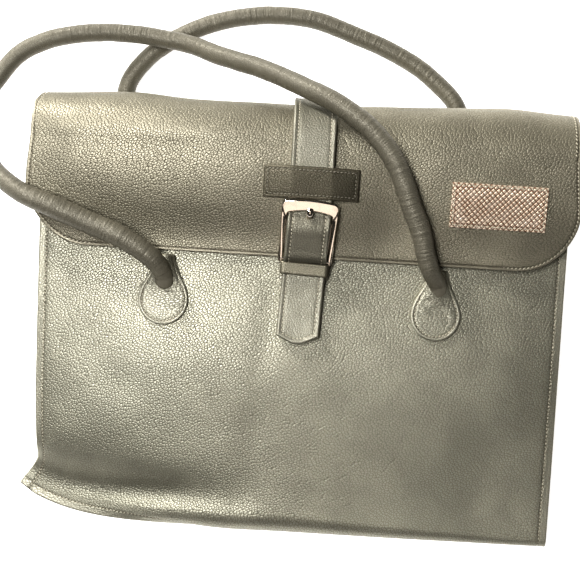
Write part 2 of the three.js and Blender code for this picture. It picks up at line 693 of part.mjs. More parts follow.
function frameShape() {
  const inner = frameInside / 2;
  const outer = inner + frameSide;
  const shoulder = frameHeight - frameArch - 4;
  const taper = 0.95; // width at the pivot against the width at the top bar
  const eye = (inner + outer * taper) / 2; // middle of an eye from the frame's middle line
  const shape = new THREE.Shape();
  shape.moveTo(eye + eyeRadius, 0);
  shape.lineTo(outer, shoulder);
  shape.quadraticCurveTo(outer, frameHeight - frameArch, outer - 6, frameHeight - frameArch * 0.7);
  shape.quadraticCurveTo(0, frameHeight + frameArch * 0.7, 6 - outer, frameHeight - frameArch * 0.7);
  shape.quadraticCurveTo(-outer, frameHeight - frameArch, -outer, shoulder);
  shape.absarc(-eye, 0, eyeRadius, Math.PI, 2 * Math.PI, false);
  const barLow = frameHeight - frameTopBar;
  shape.lineTo(-inner, 2 * eyeRadius);
  shape.lineTo(-inner, barLow - frameArch * 0.6);
  shape.quadraticCurveTo(0, barLow + frameArch * 0.6, inner, barLow - frameArch * 0.6);
  shape.lineTo(inner, 2 * eyeRadius);
  shape.absarc(eye, 0, eyeRadius, Math.PI, 1.9 * Math.PI, false);
  return shape;
}

function buckleFrame() {
  const bevel = 0.7;
  const geometry = new THREE.ExtrudeGeometry(frameShape(), {
    depth: frameThickness - 2 * bevel,
    bevelThickness: bevel,
    bevelSize: bevel,
    bevelOffset: -bevel,
    bevelSegments: 1,
    curveSegments: 8,
  }).translate(0, 0, bevel - frameThickness / 2);
  const radius = pivotDiameter / 2;
  const bar = new THREE.CylinderGeometry(radius, radius, frameInside + frameSide, 12, 1);
  return joined(welded(geometry), welded(bar.rotateZ(Math.PI / 2)));
}

const buckle = new THREE.Group();
buckle.rotation.order = "ZXY";
buckle.rotation.set(frameTilt, 0, -degToRad(strapLean));
buckle.position.set(pivotX, pivotUp, pivotZ);
assembly.add(buckle);
const frame = add("buckle_frame", buckleFrame(), "nickel");
buckle.add(frame);

// The prong's middle above the frame's own plane, in lengths of the frame and of its own diameter
const prongLine = [
  { along: 0.03, z: 0 },
  { along: 0.25, z: -0.35 },
  { along: 0.45, z: -0.25 },
  { along: 0.6, z: 0.4 },
  { along: 0.7, z: 1.05 },
  { along: 0.79, z: 1.28 },
  { along: 0.87, z: 1.26 },
];
function buckleProng() {
  const steps = 14;
  const sides = 10;
  const rings = Array.from({ length: steps + 1 }, (_, i) => {
    const along = lerp(prongLine[0].along, prongLine.at(-1).along, i / steps);
    const z = read(prongLine, "along", along, "z") * prongDiameter;
    const radius = (prongDiameter / 2) * (i < steps ? 1 : 0.55);
    return Array.from({ length: sides }, (_unused, k) => {
      const turn = (2 * Math.PI * k) / sides;
      const wide = radius * Math.cos(turn) * 1.25;
      return new THREE.Vector3(wide, along * frameHeight, z + radius * Math.sin(turn));
    });
  });
  const outer = loopInside + prongEyeWall;
  const width = prongDiameter * 1.3;
  const eye = welded(new THREE.CylinderGeometry(outer, outer, width, 16, 1).rotateZ(Math.PI / 2));
  const long = 2 * width;
  const bore = welded(
    new THREE.CylinderGeometry(loopInside, loopInside, long, 16, 1).rotateZ(Math.PI / 2),
  );
  return cut(joined(loft(rings), eye), bore);
}
const prong = add("buckle_prong", buckleProng(), "nickel");
buckle.add(prong);

// Strap: on the back panel, round the flap's fold, under the top bar, over the prong and the pivot,
// through the keeper and down to its pointed end
function strapUnder() {
  const columns = [0, 1, 2];
  const backRows3 = [
    { up: foldUp - flapSeam - strapBack, z: backLift - gap },
    { up: foldUp - flapSeam - strapBack / 2, z: backLift - gap },
    { up: foldUp - flapSeam - 3.5 * flapLeather, z: backLift - gap },
    { up: foldUp - flapSeam - flapLeather, z: lapZ - gap },
  ].map(({ up, z }) => columns.map((j) => new THREE.Vector3(flapOuter[0][strapColumn + j].x, up, z)));
  const firstFront = 2 + foldTurns.length;
  const folded = offset(flapOuter, gap).slice(0, firstFront);
  const wrapped = folded.map((row) => row.slice(strapColumn, strapColumn + 3));
  const onFlap = [...flapFrontUps.filter((up) => up > barLowUp + 2), barLowUp].map((up) =>
    columns.map((j) => {
      const x = strapAcross + ((j - 1) * strapWidth) / 2;
      return new THREE.Vector3(x, up, flapAt(x, up) + 1.4 * gap);
    }),
  );
  const inFrame = (along, z) => ({
    up: pivotUp + along * frameHeight * Math.cos(frameTilt) - z * Math.sin(frameTilt),
    z: pivotZ + along * frameHeight * Math.sin(frameTilt) + z * Math.cos(frameTilt),
  });
  const overProng = (along) => {
    const z = (read(prongLine, "along", along, "z") + 0.5) * prongDiameter + gap;
    return inFrame(along, z);
  };
  const keeperIn = (share) => {
    const lift = (keeperLeather + 2 * gap) / Math.cos(keeperSlope);
    return {
      up: keeperUp + share * keeperHeight,
      z: lerp(keeperEnds[0], keeperEnds[1], share) + lift,
    };
  };
  const restUps = [0.32, 0.55, 0.8, 1].map((share) => lerp(keeperUp, strapEndUp, share));
  const path = [
    overProng(0.46),
    overProng(0.3),
    inFrame(0.17, loopRadius + gap),
    keeperIn(1.2),
    keeperIn(0.5),
    keeperIn(-0.2),
    ...restUps.map((up, i) => ({ up, z: stemZ(up) + buckleTabLeather + [2.4, 1.2, 0.4, 0][i] })),
  ];
  const free = path.map(({ up, z }) =>
    columns.map((j) => new THREE.Vector3(strapX(up) + ((j - 1) * strapWidth) / 2, up, z)),
  );
  const end = free.at(-1);
  const shoulder = end.map((point) => point.clone().setY(point.y + strapPoint));
  for (const point of end) point.x = lerp(end[1].x, point.x, 0.2);
  return [...backRows3, ...wrapped, ...onFlap, ...free.slice(0, -1), shoulder, end];
}

function closureStrap() {
  const under = strapUnder();
  const solid = between(offset(under, strapLeather), under);
  const holeFrom = 0.42 * frameHeight;
  const holeTo = 0.74 * frameHeight;
  const slotWidth = prongDiameter * 1.25 + 2.5 * gap;
  const slot = welded(new THREE.BoxGeometry(slotWidth, holeTo - holeFrom, 10 * strapLeather));
  slot.translate(0, (holeFrom + holeTo) / 2, 0);
  buckle.updateMatrix();
  return cut(solid, slot.applyMatrix4(buckle.matrix));
}
const strap = add("closure_strap", closureStrap(), "leather");

// Band sewn over the strap
const bandShares = [-0.5, -0.38, -0.3];
const overStrap = (strapWidth / 2 + gap) / bandWidth;
const besideStrap = (strapWidth / 2 + strapLeather + gap) / bandWidth;
const bandColumns = [...bandShares, -besideStrap, -overStrap, 0, overStrap, besideStrap]
  .concat(bandShares.map((share) => -share).reverse());
const bandGrid = gridOf([1, 0.67, 0.33, 0], bandColumns, (row, column) => {
  const x = strapAcross + column * bandWidth;
  const up = bandUp + row * bandHeight;
  const onStrap = Math.abs(column) <= overStrap + 1e-6;
  const flat = [-0.5, 0, 0.5].map((s) => heightOn([strap], strapAcross + s * strapWidth * 0.98, up));
  return new THREE.Vector3(x, up, (onStrap ? Math.max(...flat) : flapAt(x, up)) + 1.5 * gap);
});
add("strap_loop", between(offset(bandGrid, bandLeather), bandGrid), "leather");

// Handles: a tube fused at each end with a drop-shaped tab sewn to a panel
const handleRadius = handleDiameter / 2;
const tabRows = [-0.994, -0.93, -0.75, -0.45, 0, 0.4, 0.8, 1.2, 1.6, 1.8];
function tabHalfWidth(v) {
  const radius = tabWidth / 2;
  if (v <= 0) return radius * Math.sqrt(1 - v * v);
  const t = v / 1.8;
  return lerp(radius, 0.36 * radius, t * t * (3 - 2 * t));
}

function handleTab(x, heightAt, side) {
  const grid = gridOf(tabRows, [-1, -0.6, -0.2, 0.2, 0.6, 1], (v, column) => {
    const px = x + column * tabHalfWidth(v);
    const up = tabRoundUp + (v < 0 ? (v * tabWidth) / 2 : (v / 1.8) * tabNeck);
    return new THREE.Vector3(px, up, heightAt(px, up) + side * gap);
  });
  return between(raised(grid, side * tabLeather), grid);
}

function handle(route, heightAt, side) {
  const ends = [-0.5, 0.5].map((share) => share * tabSpacing);
  const rootAt = (x, away, lift) => {
    const up = tabRoundUp + away;
    return new THREE.Vector3(x, up, heightAt(x, up) + side * (gap + lift));
  };
  const rootLift = 0.62 * handleRadius;
  const points = [
    rootAt(ends[0], 0.11 * tabNeck, tabLeather * 0.6),
    rootAt(ends[0], 0.42 * tabNeck, rootLift + gap),
    ...route.map(({ point }) => point),
    rootAt(ends[1], 0.42 * tabNeck, rootLift + gap),
    rootAt(ends[1], 0.11 * tabNeck, tabLeather * 0.6),
  ];
  const curve = new THREE.CatmullRomCurve3(points, false, "centripetal");
  const length = curve.getLength();
  const girths = [route[0].girth, ...route.map(({ girth }) => girth), route.at(-1).girth];
  const rootLength = 0.75 * tabNeck;
  const rings = Array.from({ length: handleSteps + 1 }, (_, i) => {
    const near = i / handleSteps;
    const ease = near - 0.1 * Math.sin(2 * Math.PI * near);
    const centre = curve.getPointAt(ease);
    const tangent = curve.getTangentAt(ease);
    const across = tangent.clone().cross(new THREE.Vector3(0, 0, 1)).normalize();
    const over = across.clone().cross(tangent).normalize();
    const fromEnd = Math.min(ease, 1 - ease) * length;
    const t = clamp(fromEnd / rootLength, 0, 1);
    const at = ease * (girths.length - 1);
    const low = Math.min(Math.floor(at), girths.length - 2);
    const girth = lerp(girths[low], girths[low + 1], at - low);
    const wide = handleRadius * girth * (1 + 0.9 * (1 - t) ** 2);
    const tall = handleRadius * girth * (0.14 + 0.86 * smoothstep(t, 0, 1));
    centre.z = Math.max(centre.z, tall);
    return Array.from({ length: handleSides }, (_unused, k) => {
      const turn = (2 * Math.PI * k) / handleSides + Math.PI / 2;
      return centre
        .clone()
        .addScaledVector(across, wide * Math.cos(turn))
        .addScaledVector(over, tall * Math.sin(turn));
    });
  });
  return joined(loft(rings), ...ends.map((x) => handleTab(x, heightAt, side)));
}

const placed = (row, z) => new THREE.Vector3(row.across * halfWidth, row.up * caseLength, z);
const frontPoints = frontRoute.map((row) => ({
  point: placed(row, row.z * caseDepth),
  girth: row.girth,
}));
const backPoints = backRoute.map((row) => ({ point: placed(row, handleRadius), girth: 1 }));
const backUnder = (x, up) => heightOn([backPanel], x, up, -1);
add("front_handle", handle(frontPoints, frontAt, 1), "leather");
add("back_handle", handle(backPoints, backUnder, -1), "leather");

export default documentCase;
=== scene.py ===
import math

import bpy
import numpy as np
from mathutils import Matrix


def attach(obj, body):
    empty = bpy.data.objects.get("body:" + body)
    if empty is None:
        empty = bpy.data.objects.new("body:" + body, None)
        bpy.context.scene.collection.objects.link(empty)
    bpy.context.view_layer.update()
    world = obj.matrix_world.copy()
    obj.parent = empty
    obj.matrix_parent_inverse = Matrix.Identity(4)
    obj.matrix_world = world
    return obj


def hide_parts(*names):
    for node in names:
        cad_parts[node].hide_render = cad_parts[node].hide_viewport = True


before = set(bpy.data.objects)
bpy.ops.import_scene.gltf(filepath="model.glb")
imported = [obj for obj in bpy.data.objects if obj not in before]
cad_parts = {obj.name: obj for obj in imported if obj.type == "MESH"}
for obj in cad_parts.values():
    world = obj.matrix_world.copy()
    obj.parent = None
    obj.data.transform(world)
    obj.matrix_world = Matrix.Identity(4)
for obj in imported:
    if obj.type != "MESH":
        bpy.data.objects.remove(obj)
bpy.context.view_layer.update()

# Millimetres while a piece is worked out: x across the case, up from its bottom seam, z above the floor.
# across is a share of half the case's width and along a distance from the bottom seam.
case = {
    "halfWidth": 212.0,
    "panelLength": 310.0,
    "depth": 70.0,
    "leather": 2.0,
    "gussetLeather": 1.8,
    "seam": 6.5,
    "gap": 0.35,
    "restLength": 130.0,
    "liftLength": 85.0,
    "lift": 17.3,
    "ridge": -0.14,
    "sideDrop": 12.0,
    "gridStep": 2.6,
}


def clamp(value, low=0.0, high=1.0):
    return np.minimum(np.maximum(value, low), high)


def smooth(value, low, high):  # 3t^2 - 2t^3 of how far a value is from low to high
    t = clamp((value - low) / (high - low))
    return t * t * (3 - 2 * t)


def mix(a, b, share):
    return a + (b - a) * share


def bump(distance, width):  # 1 at no distance, falling as a bell
    return np.exp(-((distance / width) ** 2))


def readTable(rows, at, column=1):  # cubic Hermite through a table, slopes from each row's neighbours
    rows = np.asarray(rows, float)
    places, values = rows[:, 0], rows[:, column]
    last = len(places) - 1
    at = clamp(np.asarray(at, float), places[0], places[-1])
    i = np.clip(np.searchsorted(places, at, side="right") - 1, 0, last - 1)
    before, after = np.maximum(i - 1, 0), np.minimum(i + 2, last)
    span = places[i + 1] - places[i]
    leave = (values[i + 1] - values[before]) / (places[i + 1] - places[before]) * span
    arrive = (values[after] - values[i]) / (places[after] - places[i]) * span
    t = (at - places[i]) / span
    bend = (2 * t - 3) * t * t
    curve = t * (t - 1)
    return values[i] * (1 + bend) - values[i + 1] * bend + curve * ((t - 1) * leave + t * arrive)


def waves(x, y, size, seed):  # seeded values on a lattice, eased between its corners, from -1 to 1
    lattice = np.random.default_rng(seed).uniform(-1, 1, (64, 64))
    u, v = np.asarray(x) / size + 17.3, np.asarray(y) / size + 23.7
    i, j = np.floor(u).astype(int), np.floor(v).astype(int)
    a, b = u - i, v - j
    a, b = a * a * (3 - 2 * a), b * b * (3 - 2 * b)
    pick = lambda p, q: lattice[np.mod(p, 64), np.mod(q, 64)]
    return mix(mix(pick(i, j), pick(i + 1, j), a), mix(pick(i, j + 1), pick(i + 1, j + 1), a), b)


def unit(vectors):
    return vectors / np.maximum(np.linalg.norm(vectors, axis=-1, keepdims=True), 1e-9)


def stack(*parts):
    return np.stack(np.broadcast_arrays(*parts), -1).astype(float)


def circle(count):  # angles evenly round a circle
    return np.arange(count) / count * 2 * math.pi


zeros = np.zeros
millimetre = 0.001


edgeLines = [0, 0.25, 0.6, 1.1, 1.8, 2.6, 3.4, 4.2, 5.2]


def spread(length, step, near=edgeLines):  # distances from 0 to length, packed at both ends
    near = np.asarray(near, float)
    count = max(int(round((length - 2 * near[-1]) / step)), 2)
    middle = np.linspace(near[-1], length - near[-1], count + 1)
    return np.concatenate([near[:-1], middle, (length - near[:-1])[::-1]])


def addMesh(name, points, faces, material, uv=None, edge=None):
    mesh = bpy.data.meshes.new(name)
    points = np.array(points, float).reshape(-1, 3)
    points[:, 1] -= case["restLength"] / 2
    mesh.vertices.add(len(points))
    mesh.vertices.foreach_set("co", (points * millimetre).ravel())
    faces = np.asarray(faces, np.int32)
    mesh.loops.add(faces.size)
    mesh.loops.foreach_set("vertex_index", faces.ravel())
    mesh.polygons.add(len(faces))
    mesh.polygons.foreach_set("loop_start", np.arange(len(faces), dtype=np.int32) * faces.shape[1])
    mesh.polygons.foreach_set("use_smooth", np.ones(len(faces), bool))
    mesh.update(calc_edges=True)
    if uv is not None:
        layer = mesh.uv_layers.new(name="UVMap")
        layer.data.foreach_set("uv", np.asarray(uv, float).reshape(-1, 2)[faces.ravel()].ravel())
    if edge is not None:
        attribute = mesh.attributes.new("edge", "FLOAT", "POINT")
        attribute.data.foreach_set("value", np.asarray(edge, float).ravel())
    mesh.validate()
    mesh.materials.append(material)
    piece = bpy.data.objects.new(name, mesh)
    bpy.context.collection.objects.link(piece)
    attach(piece, "root")
    return piece


def faceUp(grid):  # unit cross product of a grid's rows, running down, and its columns, running right
    return unit(np.cross(np.gradient(grid, axis=0), np.gradient(grid, axis=1)))


def rounded(distance, thickness):  # half thickness that closes as a half circle at the rim
    t = clamp(distance / (thickness / 2))
    return thickness / 2 * np.sqrt(np.maximum(1 - (1 - t) ** 2, 0))


def flatMap(grid):  # a grid laid out flat: mean length of its columns' and rows' steps, in metres
    lengths = [np.linalg.norm(np.diff(grid, axis=k), axis=2).mean(1 - k) for k in (1, 0)]
    u, v = (np.concatenate([[0.0], np.cumsum(steps)]) * millimetre for steps in lengths)
    return np.stack(np.broadcast_arrays(u[None], -v[:, None]), -1)


def addSheet(name, middle, half, material, edge=None):  # two skins on a middle grid that share its rim
    rows, columns = middle.shape[:2]
    normal = faceUp(middle)
    over, under = middle + normal * half[..., None], middle - normal * half[..., None]
    inside = np.zeros((rows, columns), bool)
    inside[1:-1, 1:-1] = True
    first = np.arange(rows * columns).reshape(rows, columns)
    second = first.copy()
    second[inside] = rows * columns + np.arange(inside.sum())
    quads = lambda n: np.stack([n[:-1, :-1], n[1:, :-1], n[1:, 1:], n[:-1, 1:]], -1).reshape(-1, 4)
    faces = np.concatenate([quads(first), quads(second)[:, ::-1]])
    both = lambda value, size: np.concatenate([value.reshape(-1, size), value[inside].reshape(-1, size)])
    if edge is not None:
        edge = both(edge, 1)
    points = np.concatenate([over.reshape(-1, 3), under[inside]])
    return addMesh(name, points, faces, material, uv=both(flatMap(middle), 2), edge=edge)


def wallFaces(index):  # quads between rings of point numbers, closed round each ring
    around = np.concatenate([index, index[:, :1]], 1)
    corners = [around[:-1, :-1], around[:-1, 1:], around[1:, 1:], around[1:, :-1]]
    return np.stack(corners, -1).reshape(-1, 4)


def addTube(name, rings, material, closed=False, uv=None, edge=None):  # capped, or joined end to end
    count, sides = rings.shape[:2]
    points = rings.reshape(-1, 3)
    uv = flatMap(rings) if uv is None else uv
    index = np.arange(count * sides).reshape(count, sides)
    faces = wallFaces(np.concatenate([index, index[:1]]) if closed else index)
    if not closed:
        points = np.concatenate([points, rings[:1].mean(1), rings[-1:].mean(1)])
        first, last = np.full(sides, count * sides), np.full(sides, count * sides + 1)
        head = np.stack([first, np.roll(index[0], -1), index[0], first], -1)
        tail = np.stack([last, index[-1], np.roll(index[-1], -1), last], -1)
        faces = np.concatenate([faces, head, tail])
        uv = np.concatenate([uv.reshape(-1, 2), uv[:1, 0], uv[-1:, 0]])
        if edge is not None:
            edge = np.concatenate([edge.ravel(), edge[:1, 0], edge[-1:, 0]])
    return addMesh(name, points, faces, material, uv=uv, edge=edge)


def alongPath(points, step):  # the same polyline with points a step apart
    points = np.asarray(points, float)
    gone = np.concatenate([[0], np.cumsum(np.linalg.norm(np.diff(points, axis=0), axis=1))])
    count = max(int(round(gone[-1] / step)), 2)
    at = np.linspace(0, gone[-1], count + 1)
    return np.stack([np.interp(at, gone, points[:, k]) for k in range(points.shape[1])], -1), at


def throughPoints(points, step=1.5):  # centripetal Catmull-Rom curve through points, sampled evenly
    p = np.asarray(points, float)
    p = np.concatenate([[2 * p[0] - p[1]], p, [2 * p[-1] - p[-2]]])
    knots = np.concatenate([[0], np.cumsum(np.linalg.norm(np.diff(p[:, :3], axis=0), axis=1) ** 0.5)])
    fine = np.linspace(knots[1], knots[-2], 3000)
    i = np.clip(np.searchsorted(knots, fine, side="right") - 1, 1, len(p) - 3)
    t = lambda k: knots[i + k][:, None]
    q = lambda k: p[i + k]
    s = fine[:, None]
    blend = lambda a, b, ta, tb: ((tb - s) * a + (s - ta) * b) / (tb - ta)
    a1, a2, a3 = (blend(q(k), q(k + 1), t(k), t(k + 1)) for k in (-1, 0, 1))
    b1, b2 = blend(a1, a2, t(-1), t(1)), blend(a2, a3, t(0), t(2))
    return alongPath(blend(b1, b2, t(0), t(1)), step)


# Stitches: each is a low capsule that leans a little across its seam
stitching = {
    "pitch": 3.0,
    "length": 2.2,
    "thickness": 0.85,
    "lean": 0.2,
    "flatness": 0.8,
    "sunk": 0.1,
    "rings": np.array([-0.5, -0.38, 0, 0.38, 0.5]),  # along the stitch, as shares of its length
    "girths": np.array([0.12, 0.8, 1, 0.8, 0.12]),
}


def addStitches(name, seams, material, zigzag=0.0, scale=1.0, **changes):
    # capsule = rings of an ellipse along the seam, its ends pulled in, sunk a little into the leather
    kind = stitching | changes
    pitch = kind["pitch"]
    centres, alongs, ups = [], [], []
    for points, normals in seams:
        both, _ = alongPath(np.concatenate([points, normals], 1), pitch)
        place, normal = both[:, :3], unit(both[:, 3:])
        centres.append((place[1:] + place[:-1]) / 2)
        alongs.append(unit(place[1:] - place[:-1]))
        ups.append(unit(normal[1:] + normal[:-1]))
    centre, along, up = (np.concatenate(part)[:, None, None] for part in (centres, alongs, ups))
    count = len(centre)
    everyOther = np.where(np.arange(count) % 2, 1.0, -1.0).reshape(-1, 1, 1, 1)
    along = unit(along + unit(np.cross(up, along)) * (everyOther * zigzag + kind["lean"]))
    aside = unit(np.cross(up, along))
    radius = stitching["thickness"] / 2 * scale
    girth, turn = stitching["girths"][:, None], circle(6)
    ends = stitching["rings"] * stitching["length"] * pitch / stitching["pitch"]
    height = girth * np.sin(turn) * radius * stitching["flatness"] - stitching["sunk"] + 0.12 * girth
    rings = centre + along * ends[:, None, None] + aside * (girth * np.cos(turn) * radius)[..., None]
    rings = rings + up * height[..., None]
    index = np.arange(30).reshape(5, 6)
    caps = np.array([[3, 2, 1, 0], [5, 4, 3, 0], [24, 25, 26, 27], [24, 27, 28, 29]])
    one = np.concatenate([wallFaces(index), caps])
    faces = (one[None] + (np.arange(count) * index.size)[:, None, None]).reshape(-1, 4)
    piece = addMesh(name, rings.reshape(-1, 3), faces, material)
    return piece


# Shader nodes
def fill(tree, node, sockets):  # sets each socket to its number or colour, or links it
    for socket, value in sockets.items():
        if isinstance(value, bpy.types.NodeSocket):
            tree.links.new(value, node.inputs[socket])
        else:
            node.inputs[socket].default_value = value
    return node


def addNode(tree, kind, sockets, **settings):
    node = tree.nodes.new("ShaderNode" + kind)
    for setting, value in settings.items():
        setattr(node, setting, value)
    return fill(tree, node, sockets)


def mathNode(tree, operation, *values, clampIt=False):
    return addNode(tree, "Math", dict(enumerate(values)), operation=operation, use_clamp=clampIt).outputs[0]


def rampNode(tree, value, low, high, toLow=0.0, toHigh=1.0):
    sockets = {"Value": value, "From Min": low, "From Max": high, "To Min": toLow, "To Max": toHigh}
    return addNode(tree, "MapRange", sockets, interpolation_type="SMOOTHSTEP").outputs["Result"]


def noiseNode(tree, vector, scale, detail, roughness):
    sockets = {"Vector": vector, "Scale": scale, "Detail": detail, "Roughness": roughness}
    return addNode(tree, "TexNoise", sockets)


def cellDistance(tree, vector, scale, feature, randomness=1.0):
    sockets = {"Vector": vector, "Scale": scale, "Randomness": randomness}
    return addNode(tree, "TexVoronoi", sockets, voronoi_dimensions="2D", feature=feature).outputs["Distance"]


def bumpNode(tree, height, distance, **under):
    return addNode(tree, "Bump", {"Height": height, "Distance": distance, **under}).outputs[0]


def mixColours(tree, share, first, second, kind="MIX"):
    withAlpha = lambda value: (*value, 1.0) if isinstance(value, tuple) else value
    sockets = {"Factor": share, 6: withAlpha(first), 7: withAlpha(second)}
    return addNode(tree, "Mix", sockets, data_type="RGBA", blend_type=kind).outputs[2]


def edgeShare(tree, factor):  # the mesh's edge attribute times a factor, kept from 0 to 1
    edge = addNode(tree, "Attribute", {}, attribute_name="edge")
    return mathNode(tree, "MULTIPLY", edge.outputs["Fac"], factor, clampIt=True)


def objectPlace(tree):
    return tree.nodes.new("ShaderNodeTexCoord").outputs["Object"]


def newMaterial(name):
    material = bpy.data.materials.new(name)
    material.use_nodes = True
    tree = material.node_tree
    return material, tree, tree.nodes["Principled BSDF"]


grainLook = {"turn": -0.6, "stretch": 0.64, "bend": (0.0005, 0.0005, 0.0005), "cushion": 0.22, "line": 0.19}


def makePebbleGrain():
    # height = soft cushions between the lines of stretched, bent cells, on a slow change of level
    group = bpy.data.node_groups.new("pebbleGrain", "ShaderNodeTree")
    group.interface.new_socket("Vector", in_out="INPUT", socket_type="NodeSocketVector")
    group.interface.new_socket("Cells", in_out="INPUT", socket_type="NodeSocketFloat")
    for label in ("Height", "Creases", "Patches"):
        group.interface.new_socket(label, in_out="OUTPUT", socket_type="NodeSocketFloat")
    given = group.nodes.new("NodeGroupInput").outputs
    bend = noiseNode(group, given["Vector"], 240, 2, 0.55).outputs["Color"]
    moves = {0: bend, 1: grainLook["bend"], 2: given["Vector"]}
    bent = addNode(group, "VectorMath", moves, operation="MULTIPLY_ADD").outputs[0]
    turns = {"Vector": bent, "Angle": grainLook["turn"]}
    turned = addNode(group, "VectorRotate", turns, rotation_type="Z_AXIS").outputs[0]
    x, y = list(addNode(group, "SeparateXYZ", {0: turned}).outputs)[:2]
    stretched = mathNode(group, "MULTIPLY", x, grainLook["stretch"])
    place = addNode(group, "CombineXYZ", {0: stretched, 1: y}).outputs[0]
    away = cellDistance(group, place, given["Cells"], "F1")
    fromLine = cellDistance(group, place, given["Cells"], "DISTANCE_TO_EDGE")
    big = mathNode(group, "SUBTRACT", 1.0, mathNode(group, "MULTIPLY", away, away), clampIt=True)
    small = rampNode(group, fromLine, 0.0, grainLook["cushion"])
    level = noiseNode(group, place, 480, 1, 0.5).outputs["Fac"]
    height = mathNode(group, "MULTIPLY_ADD", small, 0.4, mathNode(group, "MULTIPLY", big, 0.75))
    results = {
        "Height": mathNode(group, "MULTIPLY_ADD", level, 0.12, height),
        "Creases": mathNode(group, "SUBTRACT", 1.0, rampNode(group, fromLine, 0.0, grainLook["line"])),
        "Patches": noiseNode(group, given["Vector"], 26, 3, 0.55).outputs["Fac"],
    }
    fill(group, group.nodes.new("NodeGroupOutput"), results)
    return group


pebbleGrain = makePebbleGrain()

leatherLook = {
    "raised": (0.425, 0.412, 0.34),
    "creases": (0.265, 0.252, 0.195),
    "edge": (0.52, 0.5, 0.415),
    # sunk: painted shade, mixed in where the edge attribute is below zero: along seam and stitch grooves, on
    # the flap's outermost rim and inside the buckle's frame
    "sunk": (0.1, 0.088, 0.062),
    "roughness": (0.44, 0.53),  # on the pebbles and in the creases
    "wrinkleScale": (330.0, 26.0, 1.0),
}


def makeLeather(name, cells=620.0, depth=0.00027, tint=(1, 1, 1), wrinkles=0.0, usesEdge=True, metallic=0.72):
    material, tree, shader = newMaterial(name)
    ownMap = tree.nodes.new("ShaderNodeUVMap").outputs[0]
    grain = addNode(tree, "Group", {}, node_tree=pebbleGrain)
    fill(tree, grain, {"Vector": ownMap, "Cells": cells})
    grain = grain.outputs
    tinted = lambda part: tuple(c * t for c, t in zip(leatherLook[part], tint))
    colour = mixColours(tree, grain["Creases"], tinted("raised"), tinted("creases"))
    patch = rampNode(tree, grain["Patches"], 0.35, 0.65, 0.93, 1.05)
    shade = addNode(tree, "CombineColor", {k: patch for k in range(3)})
    colour = mixColours(tree, 1.0, colour, shade.outputs[0], "MULTIPLY")
    height = grain["Height"]
    if usesEdge:
        # above zero the edge attribute pales the rim; below zero it paints shade with the sunk colour
        rim = edgeShare(tree, 0.75)
        colour = mixColours(tree, rim, colour, tinted("edge"))
        colour = mixColours(tree, edgeShare(tree, -0.8), colour, tinted("sunk"))
        height = mathNode(tree, "MULTIPLY", height, mathNode(tree, "SUBTRACT", 1.0, rim))
    normal = bumpNode(tree, height, depth)
    if wrinkles:
        # fine creases across a handle: noise drawn out round the tube in its own map
        stretched = addNode(tree, "Mapping", {"Vector": ownMap, "Scale": leatherLook["wrinkleScale"]})
        lines = noiseNode(tree, stretched.outputs[0], 1.0, 3, 0.6).outputs["Fac"]
        normal = bumpNode(tree, rampNode(tree, lines, 0.3, 0.7), wrinkles, Normal=normal)
    rough = rampNode(tree, grain["Creases"], 0.0, 1.0, *leatherLook["roughness"])
    fill(tree, shader, {"Base Color": colour, "Roughness": rough, "Metallic": metallic, "Normal": normal})
    return material


def makeThread(name, tint):
    material, tree, shader = newMaterial(name)
    strands = noiseNode(tree, objectPlace(tree), 900, 1, 0.5).outputs["Fac"]
    dark, light = (tuple(c * tint for c in colour) for colour in ((0.5, 0.46, 0.36), (0.72, 0.68, 0.56)))
    colour = mixColours(tree, strands, dark, light)
    fill(tree, shader, {"Base Color": colour, "Roughness": 0.62, "Normal": bumpNode(tree, strands, 0.0001)})
    return material


def makeNickel():
    material, tree, shader = newMaterial("polishedNickel")
    wear = noiseNode(tree, objectPlace(tree), 160, 4, 0.6).outputs["Fac"]
    rough = rampNode(tree, wear, 0.35, 0.7, 0.09, 0.2)
    colour = mixColours(tree, wear, (0.78, 0.71, 0.63), (0.86, 0.8, 0.73))
    relief = bumpNode(tree, wear, 0.00003)
    fill(tree, shader, {"Base Color": colour, "Roughness": rough, "Metallic": 1.0, "Normal": relief})
    return material


def makeLabelSkin():
    # scales: nearly square cells turned by 45 degrees, raised and pale, with dark lines sunk between them
    material, tree, shader = newMaterial("scaledLabel")
    place = objectPlace(tree)
    turned = addNode(tree, "Mapping", {"Vector": place, "Rotation": (0.0, 0.0, math.radians(45))}).outputs[0]
    scale = rampNode(tree, cellDistance(tree, turned, 330, "DISTANCE_TO_EDGE", 0.12), 0.03, 0.26)
    tone = noiseNode(tree, place, 120, 3, 0.6).outputs["Fac"]
    colour = mixColours(tree, scale, (0.27, 0.15, 0.09), (0.97, 0.83, 0.67))
    colour = mixColours(tree, rampNode(tree, tone, 0.4, 0.7, 0.0, 0.3), colour, (0.95, 0.85, 0.74))
    colour = mixColours(tree, edgeShare(tree, -0.7), colour, (0.22, 0.12, 0.08))
    rough = rampNode(tree, scale, 0.0, 1.0, 0.55, 0.3)
    relief = bumpNode(tree, scale, 0.0005)
    fill(tree, shader, {"Base Color": colour, "Roughness": rough, "Metallic": 0.4, "Normal": relief})
    return material


bodyLeather = makeLeather("pebbledLeather")
# the flap's leather is a darker copy of the body's: painted shade
shadedFlapLeather = makeLeather("shadedFlapLeather", depth=0.00024, tint=(0.79, 0.76, 0.73))
strapLeather = makeLeather("strapLeather", cells=800.0, depth=0.00017, tint=(0.87, 0.87, 0.88))
bandLeather = makeLeather("bandLeather", cells=760.0, depth=0.00024, tint=(0.4, 0.38, 0.35))
fine = {"cells": 900.0, "depth": 0.00012}
